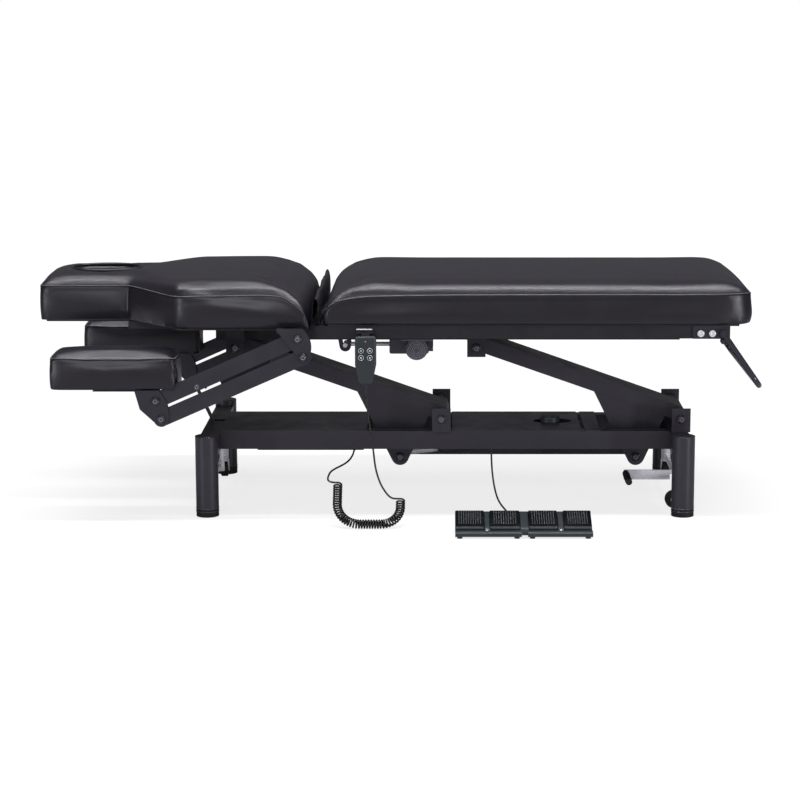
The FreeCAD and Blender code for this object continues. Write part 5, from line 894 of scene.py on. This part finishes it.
def bolt_head(name, place, direction, radius, height, body, finish, slot):
    """A round bolt head with a hexagon socket; direction is -1 for the near side and 1 for the far side."""
    bpy.ops.mesh.primitive_cylinder_add(vertices=48, radius=radius, depth=height, location=(0, 0, height / 2))
    head = bpy.context.object
    select_faces(head, lambda face: face.normal.z > 0.9)
    bpy.ops.mesh.inset(thickness=radius * 0.16)
    bpy.ops.transform.translate(value=(0, 0, height * 0.22))
    bpy.ops.object.mode_set(mode="OBJECT")
    bpy.ops.mesh.primitive_cylinder_add(vertices=6, radius=radius * 0.5, depth=height * 1.2,
                                        location=(0, 0, height * 1.4))
    cut_out(head, bpy.context.object)
    apply_modifier(head, "BEVEL", width=radius * 0.06, segments=2, limit_method="ANGLE")
    head.rotation_euler = (math.radians(90) * (1 if direction < 0 else -1), 0, 0)
    head.location = place
    place_in_mesh(head)
    # Dark bolts get a pale ring at the socket's rim: a painted glint
    if finish == "bolt_steel":
        rim = (place[0], place[1] + direction * height * 1.2, place[2])
        ring(name + "_rim", rim, "Y", radius * 0.5, 0.0007, body, slot, "cast_edge")
    dress(head, name, body, finish, 40)


def ring(name, place, axis, radius, thickness, body, slot, finish):
    """A thin round ring; its axis is Y or Z."""
    bpy.ops.mesh.primitive_torus_add(major_radius=radius, minor_radius=thickness, major_segments=48,
                                     minor_segments=8, location=place,
                                     rotation=(math.radians(90) if axis == "Y" else 0, 0, 0))
    item = bpy.context.object
    place_in_mesh(item)
    dress(item, name, body, finish, 180)


def caster_collar(name, place, radius, low, high, sides, finish):
    """A round or six-sided collar round a caster's upright, with chamfered rims and an open bore."""
    middle = (*place, (low + high) / 2)
    bpy.ops.mesh.primitive_cylinder_add(vertices=sides, radius=radius, depth=high - low, location=middle)
    collar = bpy.context.object
    place_in_mesh(collar)
    bpy.ops.mesh.primitive_cylinder_add(vertices=40, radius=CASTER_BORE, depth=(high - low) * 2,
                                        location=middle)
    cut_out(collar, bpy.context.object)
    apply_modifier(collar, "BEVEL", width=0.0012, segments=2, limit_method="ANGLE",
                   angle_limit=math.radians(40))
    dress(collar, name, "base", finish, 40)


def bolt_on_washer(name, side, place, sign, bolt, washer, body):
    """A dark bolt head and its washer."""
    bolt_head(name + "_" + side, place, sign, *bolt, body, "bolt_steel", "dark_steel")
    ring(name + "_washer_" + side, place, "Y", *washer, body, "dark_steel", "black_oxide")


class TABLE_OT_fasteners(bpy.types.Operator):
    """Adds the visible bolt heads on the pivots, armrests and roll bar"""

    bl_idname = "table.fasteners"
    bl_label = "Fasteners"

    def execute(self, context):
        for side, sign in (("near", -1), ("far", 1)):
            upper = joint_place("armrest_" + side)
            lower = joint_place("lower_link_turn_" + side)
            pad_upper = joint_place("armrest_level_" + side)
            pad_lower = pad_upper + lower - upper
            for name, body, place in (("upper_bolt", "backrest", upper), ("lower_bolt", "backrest", lower),
                                      ("pad_upper_bolt", "armrest_" + side, pad_upper),
                                      ("pad_lower_bolt", "armrest_" + side, pad_lower)):
                head = (place.x, sign * PLATE_FACE, place.z)
                bolt_on_washer(name, side, head, sign, LINK_BOLT, LINK_WASHER, body)
                if body == "backrest":
                    inner = (place.x, sign * PLATE_BACK, place.z)
                    bolt_head(name + "_inner_" + side, inner, -sign, *LINK_NUT, body, "bolt_steel",
                              "dark_steel")
            for name, x in zip(("roll_bolt_a", "roll_bolt_b"), ROLL_BOLTS_X):
                head = (x, sign * ROLL_PLATE_FACE, ROLL_BOLTS_Z)
                bolt_head(name + "_" + side, head, sign, *ROLL_BOLT, "top_frame", "plated_steel",
                          "bright_steel")
            lift = joint_place("lift")
            foot_lift = joint_place("lift_arm_foot_turn")
            level = joint_place("top_frame_level")
            crank = joint_place("tie_bar_turn")
            run = foot_lift - lift
            for name, body, place, out in (
                    ("base_pivot_bolt_a", "base", lift, EAR_FACE),
                    ("base_pivot_bolt_b", "base", foot_lift, EAR_FACE),
                    ("upper_pivot_bolt_a", "top_frame", level, EAR_FACE),
                    ("upper_pivot_bolt_b", "top_frame", level + run, EAR_FACE),
                    ("crank_bolt_a", "lift_arm_head_body", crank, CRANK_FACE),
                    ("crank_bolt_b", "lift_arm_foot_body", crank + run, CRANK_FACE)):
                head = (place.x, sign * out, place.z)
                bolt_on_washer(name, side, head, sign, PIVOT_BOLT, PIVOT_WASHER, body)
            self.link_fittings(side, sign)
        return {"FINISHED"}

    def link_fittings(self, side, sign):
        """The bolt on an armrest's upper link, and the flat bar behind the slot between the links."""
        low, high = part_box("armrest_upper_link_" + side)
        outer, inner = (low[1], high[1]) if sign < 0 else (high[1], low[1])
        body = "upper_link_" + side
        bolt_head("link_bolt_" + side, (SMALL_BOLT_PLACE[0], outer, SMALL_BOLT_PLACE[1]), sign, *SMALL_BOLT,
                  body, "bolt_steel", "dark_steel")
        upper = joint_place("armrest_" + side)
        pad = joint_place("armrest_level_" + side)
        middle = (upper + joint_place("lower_link_turn_" + side)) / 2
        slope = math.atan2(upper.z - pad.z, upper.x - pad.x)
        start, end = SLOT_BAR_X
        x = (start + end) / 2
        place = (x, inner - sign * SLOT_BAR_DEPTH, middle.z + (x - middle.x) * math.tan(slope))
        bar("slot_bar_" + side, place, ((end - start) / math.cos(slope), *SLOT_BAR_SECTION), 0.0006, body,
            "powder_coat", tilt=-slope)


class TABLE_OT_handset(bpy.types.Operator):
    """Adds the handset's lamp, a painted highlight strip on its holder's edge, and the arrows on its keys"""

    bl_idname = "table.handset"
    bl_label = "Handset details"

    def execute(self, context):
        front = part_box("handset_shell")[0][1]
        x, z = LAMP_PLACE
        lamp = ball(LAMP_RADIUS, 20, 10, place=(x, front + 0.0002, z), scale=(1, 0.5, 1))
        dress(lamp, "handset_lamp", "top_frame", "red_lens", 180)
        # A plated strip along the holder's front edge: a painted highlight
        holder_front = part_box("handset_holder")[0][1]
        x, z = HOLDER_HIGHLIGHT_PLACE
        bar("holder_edge", (x, holder_front - 0.0006, z), HOLDER_HIGHLIGHT_SIZE, 0.0004, "top_frame",
            "plated_steel")
        for node in ("back_up", "height_up", "back_down", "height_down"):
            box_low, box_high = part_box("handset_button_" + node)
            x = (box_low[0] + box_high[0]) / 2
            z = (box_low[2] + box_high[2]) / 2
            bpy.ops.mesh.primitive_cylinder_add(vertices=3, radius=ARROW_RADIUS, depth=ARROW_HEIGHT)
            arrow = bpy.context.object
            arrow.rotation_euler = (math.radians(90), 0 if node.endswith("up") else math.radians(180), 0)
            arrow.location = (x, box_low[1] - 0.0001, z)
            place_in_mesh(arrow)
            apply_modifier(arrow, "BEVEL", width=0.0004, segments=2)
            dress(arrow, "key_arrow_" + node, "button_" + node, "white_print")
            ring("key_ring_" + node, (x, box_low[1] + 0.0002, z), "Y", *KEY_RING, "button_" + node,
                 "button_grey", "pale_print")
        return {"FINISHED"}


class TABLE_OT_pedal(bpy.types.Operator):
    """Adds the raised dots and the front lips of the pedal's pads, pale as painted highlights, and the
    housing's screws
    """

    bl_idname = "table.pedal"
    bl_label = "Pedal details"

    def execute(self, context):
        rear = Vector((0, *PAD_REAR))
        front = Vector((0, *PAD_FRONT))
        along = front - rear
        slope = math.atan2(rear.z - front.z, rear.y - front.y)
        for number in range(1, 5):
            low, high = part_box("pedal_pad_%d" % number)
            width = high[0] - low[0]
            columns = int((width - 0.012) / DOT_PITCH)
            rows = int((along.length - 2 * DOT_MARGIN) / DOT_PITCH)
            dot = ball(DOT_RADIUS, 8, 4, scale=(1, 1, 0.5))
            apply_modifier(dot, "ARRAY", count=columns, use_relative_offset=False, use_constant_offset=True,
                           constant_offset_displace=(DOT_PITCH, 0, 0))
            apply_modifier(dot, "ARRAY", count=rows, use_relative_offset=False, use_constant_offset=True,
                           constant_offset_displace=(0, -DOT_PITCH, 0))
            dot.rotation_euler = (slope, 0, 0)
            inset = along.normalized() * DOT_MARGIN
            edge = (width - (columns - 1) * DOT_PITCH) / 2
            dot.location = (low[0] + edge, rear.y + inset.y, rear.z + inset.z)
            place_in_mesh(dot)
            # The dots and the lip below are pale: painted highlights
            dress(dot, "pad_dots_%d" % number, "pad_%d" % number, "worn_dots", 180)
            bar("pad_lip_%d" % number, ((low[0] + high[0]) / 2, *LIP_PLACE), (width - 0.002, *LIP_SECTION),
                0.0008, "pad_%d" % number, "grey_lip")
        for number in range(1, 4):
            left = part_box("pedal_pad_%d" % number)[1][0]
            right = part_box("pedal_pad_%d" % (number + 1))[0][0]
            screw = ball(PEDAL_SCREW_RADIUS, 16, 8, place=((left + right) / 2, *PEDAL_SCREW_PLACE),
                         scale=(1, 1, 0.4))
            dress(screw, "pedal_screw_%d" % number, "base", "plated_steel", 180)
        return {"FINISHED"}


class TABLE_OT_grip(bpy.types.Operator):
    """Adds the ribbed rubber grip on the foot end's caster lever"""

    bl_idname = "table.grip"
    bl_label = "Grip"

    def execute(self, context):
        radius = 0.0089
        x, z = 0.502, 0.073
        start, end = -0.0768, -0.1912
        # Ribs lie between even cuts over this share of the grip
        cuts = 22
        first, share = 0.12, 0.76
        bpy.ops.mesh.primitive_cylinder_add(vertices=40, radius=radius, depth=abs(end - start))
        grip = bpy.context.object
        grip.rotation_euler = (math.radians(90), 0, 0)
        grip.location = (x, (start + end) / 2, z)
        place_in_mesh(grip)
        bpy.ops.object.mode_set(mode="EDIT")
        for i in range(cuts + 1):
            bpy.ops.mesh.select_all(action="SELECT")
            bpy.ops.mesh.bisect(plane_co=(0, start + (end - start) * (first + share * i / cuts), 0),
                                plane_no=(0, 1, 0))
        bpy.ops.object.mode_set(mode="OBJECT")
        for vertex in grip.data.vertices:
            step = (vertex.co.y - start) / (end - start)
            # Every other cut is a rib
            if 0.1 < step < 0.9 and round((step - first) / share * cuts) % 2:
                vertex.co.x = x + (vertex.co.x - x) * 1.08
                vertex.co.z = z + (vertex.co.z - z) * 1.08
        dress(grip, "lever_grip_cover", "lever_foot", "rubber", 30)
        return {"FINISHED"}


class TABLE_OT_trims(bpy.types.Operator):
    """Adds the rings of the motor's cap and rings at the grooves of the feet, both pale as painted
    highlights, and the casters' tubes, nuts and boots
    """

    bl_idname = "table.trims"
    bl_label = "Trims"

    def execute(self, context):
        x, z = MOTOR_CAP
        cap = (x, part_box("back_motor")[0][1] - 0.0002, z)
        # Pale rings on the motor's cap: painted highlights on its ridges
        for number, radius in enumerate(MOTOR_RINGS):
            ring("motor_ring_%d" % number, cap, "Y", radius, 0.0009, "top_frame", "black_plastic",
                 "cast_edge")
        for end in (-1, 1):
            for side in (-1, 1):
                name = ("head" if end < 0 else "foot") + ("_near" if side < 0 else "_far")
                place = (end * END_X, side * LEG_Y)
                # Pale rings at the foot's grooves: painted highlights
                for number, z in enumerate(FOOT_GROOVES):
                    ring("leg_ring_%s_%d" % (name, number), (*place, z), "Z", 0.0306, 0.0008, "base",
                         "dark_steel", "bolt_steel")
                ring("leg_crown_" + name, (*place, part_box("legs")[1][2] - 0.0012), "Z", 0.0296, 0.0012,
                     "base", "gloss_paint", "gloss_coat")
                caster = (end * END_X, side * CASTER_Y)
                for kind, radius, low, high, sides, slot, finish in (
                        ("tube", 0.0176, 0.1365, 0.1545, 40, "bright_steel", "plated_steel"),
                        ("nut", 0.0215, 0.1225, 0.1365, 6, "bright_steel", "plated_steel"),
                        ("boot", 0.0180, 0.1035, 0.1225, 40, "foot_rubber", "rubber")):
                    caster_collar("caster_%s_%s" % (kind, name), caster, radius, low, high, sides,
                                  finish)
        return {"FINISHED"}


# Stage

class TABLE_OT_stage(bpy.types.Operator):
    """Sets up the camera, the pale floor and the soft studio lights"""

    bl_idname = "table.stage"
    bl_label = "Studio"

    def execute(self, context):
        scene = bpy.context.scene
        scene.view_settings.view_transform = "Standard"
        self.camera(scene)
        self.floor()
        self.lights()
        self.world(scene)
        return {"FINISHED"}

    def camera(self, scene):
        """The photograph's viewpoint."""
        data = bpy.data.cameras.new("view")
        camera = new_object("view", data)
        camera.location = (-0.0046, -6.1898, 1.3952)
        camera.rotation_euler = (math.radians(90 - 10.34), 0, 0)
        data.sensor_width = 36
        data.lens = 101.22
        data.shift_x = -0.0542
        scene.camera = camera

    def floor(self):
        """A wide pale floor that keeps the shadow."""
        bpy.ops.mesh.primitive_plane_add(size=60, location=(0, 0, 0))
        floor = bpy.context.object
        floor.name = "floor"
        material, tree, output = new_material("studio_floor")
        path = add_node(tree, "ShaderNodeLightPath")
        place = add_node(tree, "ShaderNodeTexCoord").outputs["Object"]
        far = add_node(tree, "ShaderNodeVectorMath", {0: place}, operation="LENGTH")
        share = add_node(tree, "ShaderNodeMapRange", {
            "Value": far.outputs["Value"], "From Min": 1.0, "From Max": 2.6, "To Min": 0.74, "To Max": 1.0})
        matt = add_node(tree, "ShaderNodeBsdfDiffuse", {"Color": rgba(colours().floor)})
        white = add_node(tree, "ShaderNodeEmission", {"Color": (1, 1, 1, 1), "Strength": 1.06})
        seen = add_node(tree, "ShaderNodeMixShader", {0: share.outputs["Result"], 1: matt.outputs[0],
                                                      2: white.outputs[0]})
        # Other rays meet a grey floor, so that the black finishes stay black
        grey = add_node(tree, "ShaderNodeBsdfDiffuse", {"Color": (0.42, 0.41, 0.44, 1)})
        mix = add_node(tree, "ShaderNodeMixShader", {0: path.outputs["Is Camera Ray"], 1: grey.outputs[0],
                                                     2: seen.outputs[0]})
        tree.links.new(mix.outputs[0], output.inputs[0])
        floor.data.materials.append(material)

    def lights(self):
        """An overhead softbox, a narrow strip above the near edge, a front fill and two low side lights."""
        for name, place, aim, size, power in (
                ("overhead", (0.1, 0.4, 3.4), (0.0, 0.0, 0.5), (4.6, 1.3), 62),
                ("strip", (0.0, -0.55, 3.0), (0.0, -0.3, 0.6), (5.0, 0.16), 110),
                ("front", (-0.6, -4.6, 2.6), (0.0, 0.0, 0.3), (3.4, 1.2), 73),
                ("left", (-3.4, -3.0, 0.40), (-0.6, 0.0, 0.4), (0.35, 0.66), 26),
                ("right", (3.4, -2.9, 0.40), (0.6, 0.0, 0.4), (0.35, 0.66), 42)):
            data = bpy.data.lights.new(name, "AREA")
            data.shape = "RECTANGLE"
            data.size, data.size_y = size
            data.energy = power
            data.color = (0.97, 0.955, 1.0)
            lamp = new_object(name, data)
            lamp.location = place
            direction = Vector(aim) - Vector(place)
            lamp.rotation_euler = direction.to_track_quat("-Z", "Y").to_euler()

    def world(self, scene):
        """White to the camera, and dim to every other ray."""
        world = bpy.data.worlds.new("studio")
        scene.world = world
        world.use_nodes = True
        tree = world.node_tree
        tree.nodes.clear()
        output = add_node(tree, "ShaderNodeOutputWorld")
        path = add_node(tree, "ShaderNodeLightPath")
        soft = add_node(tree, "ShaderNodeBackground", {"Color": (0.96, 0.95, 1, 1), "Strength": 0.13})
        white = add_node(tree, "ShaderNodeBackground", {"Color": (1, 1, 1, 1), "Strength": 1.0})
        mix = add_node(tree, "ShaderNodeMixShader", {0: path.outputs["Is Camera Ray"], 1: soft.outputs[0],
                                                     2: white.outputs[0]})
        tree.links.new(mix.outputs[0], output.inputs[0])


class TABLE_PT_panel(bpy.types.Panel):
    """Lists the steps in the sidebar"""

    bl_label = "Chiropractic table"
    bl_space_type = "VIEW_3D"
    bl_region_type = "UI"
    bl_category = "Table"

    def draw(self, context):
        for item in OPERATORS:
            self.layout.operator(item.bl_idname)
        for group in (context.scene.table_sizes, context.scene.table_colours):
            for name in group.__annotations__:
                self.layout.prop(group, name)


OPERATORS = (TABLE_OT_stage, TABLE_OT_finishes, TABLE_OT_cords, TABLE_OT_leg_cushion, TABLE_OT_back_cushion,
             TABLE_OT_arm_pads, TABLE_OT_hinge_flap, TABLE_OT_fasteners, TABLE_OT_handset, TABLE_OT_pedal,
             TABLE_OT_grip, TABLE_OT_trims)
CLASSES = (TableSizes, TableColours, *OPERATORS, TABLE_PT_panel)


def register():
    """Registers the classes and their settings."""
    for item in CLASSES:
        bpy.utils.register_class(item)
    bpy.types.Scene.table_sizes = bpy.props.PointerProperty(type=TableSizes)
    bpy.types.Scene.table_colours = bpy.props.PointerProperty(type=TableColours)


def unregister():
    """Removes them again."""
    del bpy.types.Scene.table_colours
    del bpy.types.Scene.table_sizes
    for item in reversed(CLASSES):
        bpy.utils.unregister_class(item)


def main():
    """Runs every step in order."""
    register()
    bpy.ops.table.stage()
    bpy.ops.table.finishes()
    bpy.ops.table.cords()
    bpy.ops.table.leg_cushion()
    bpy.ops.table.back_cushion()
    bpy.ops.table.arm_pads()
    bpy.ops.table.hinge_flap()
    bpy.ops.table.fasteners()
    bpy.ops.table.handset()
    bpy.ops.table.pedal()
    bpy.ops.table.grip()
    bpy.ops.table.trims()


if __name__ == "__main__":
    main()
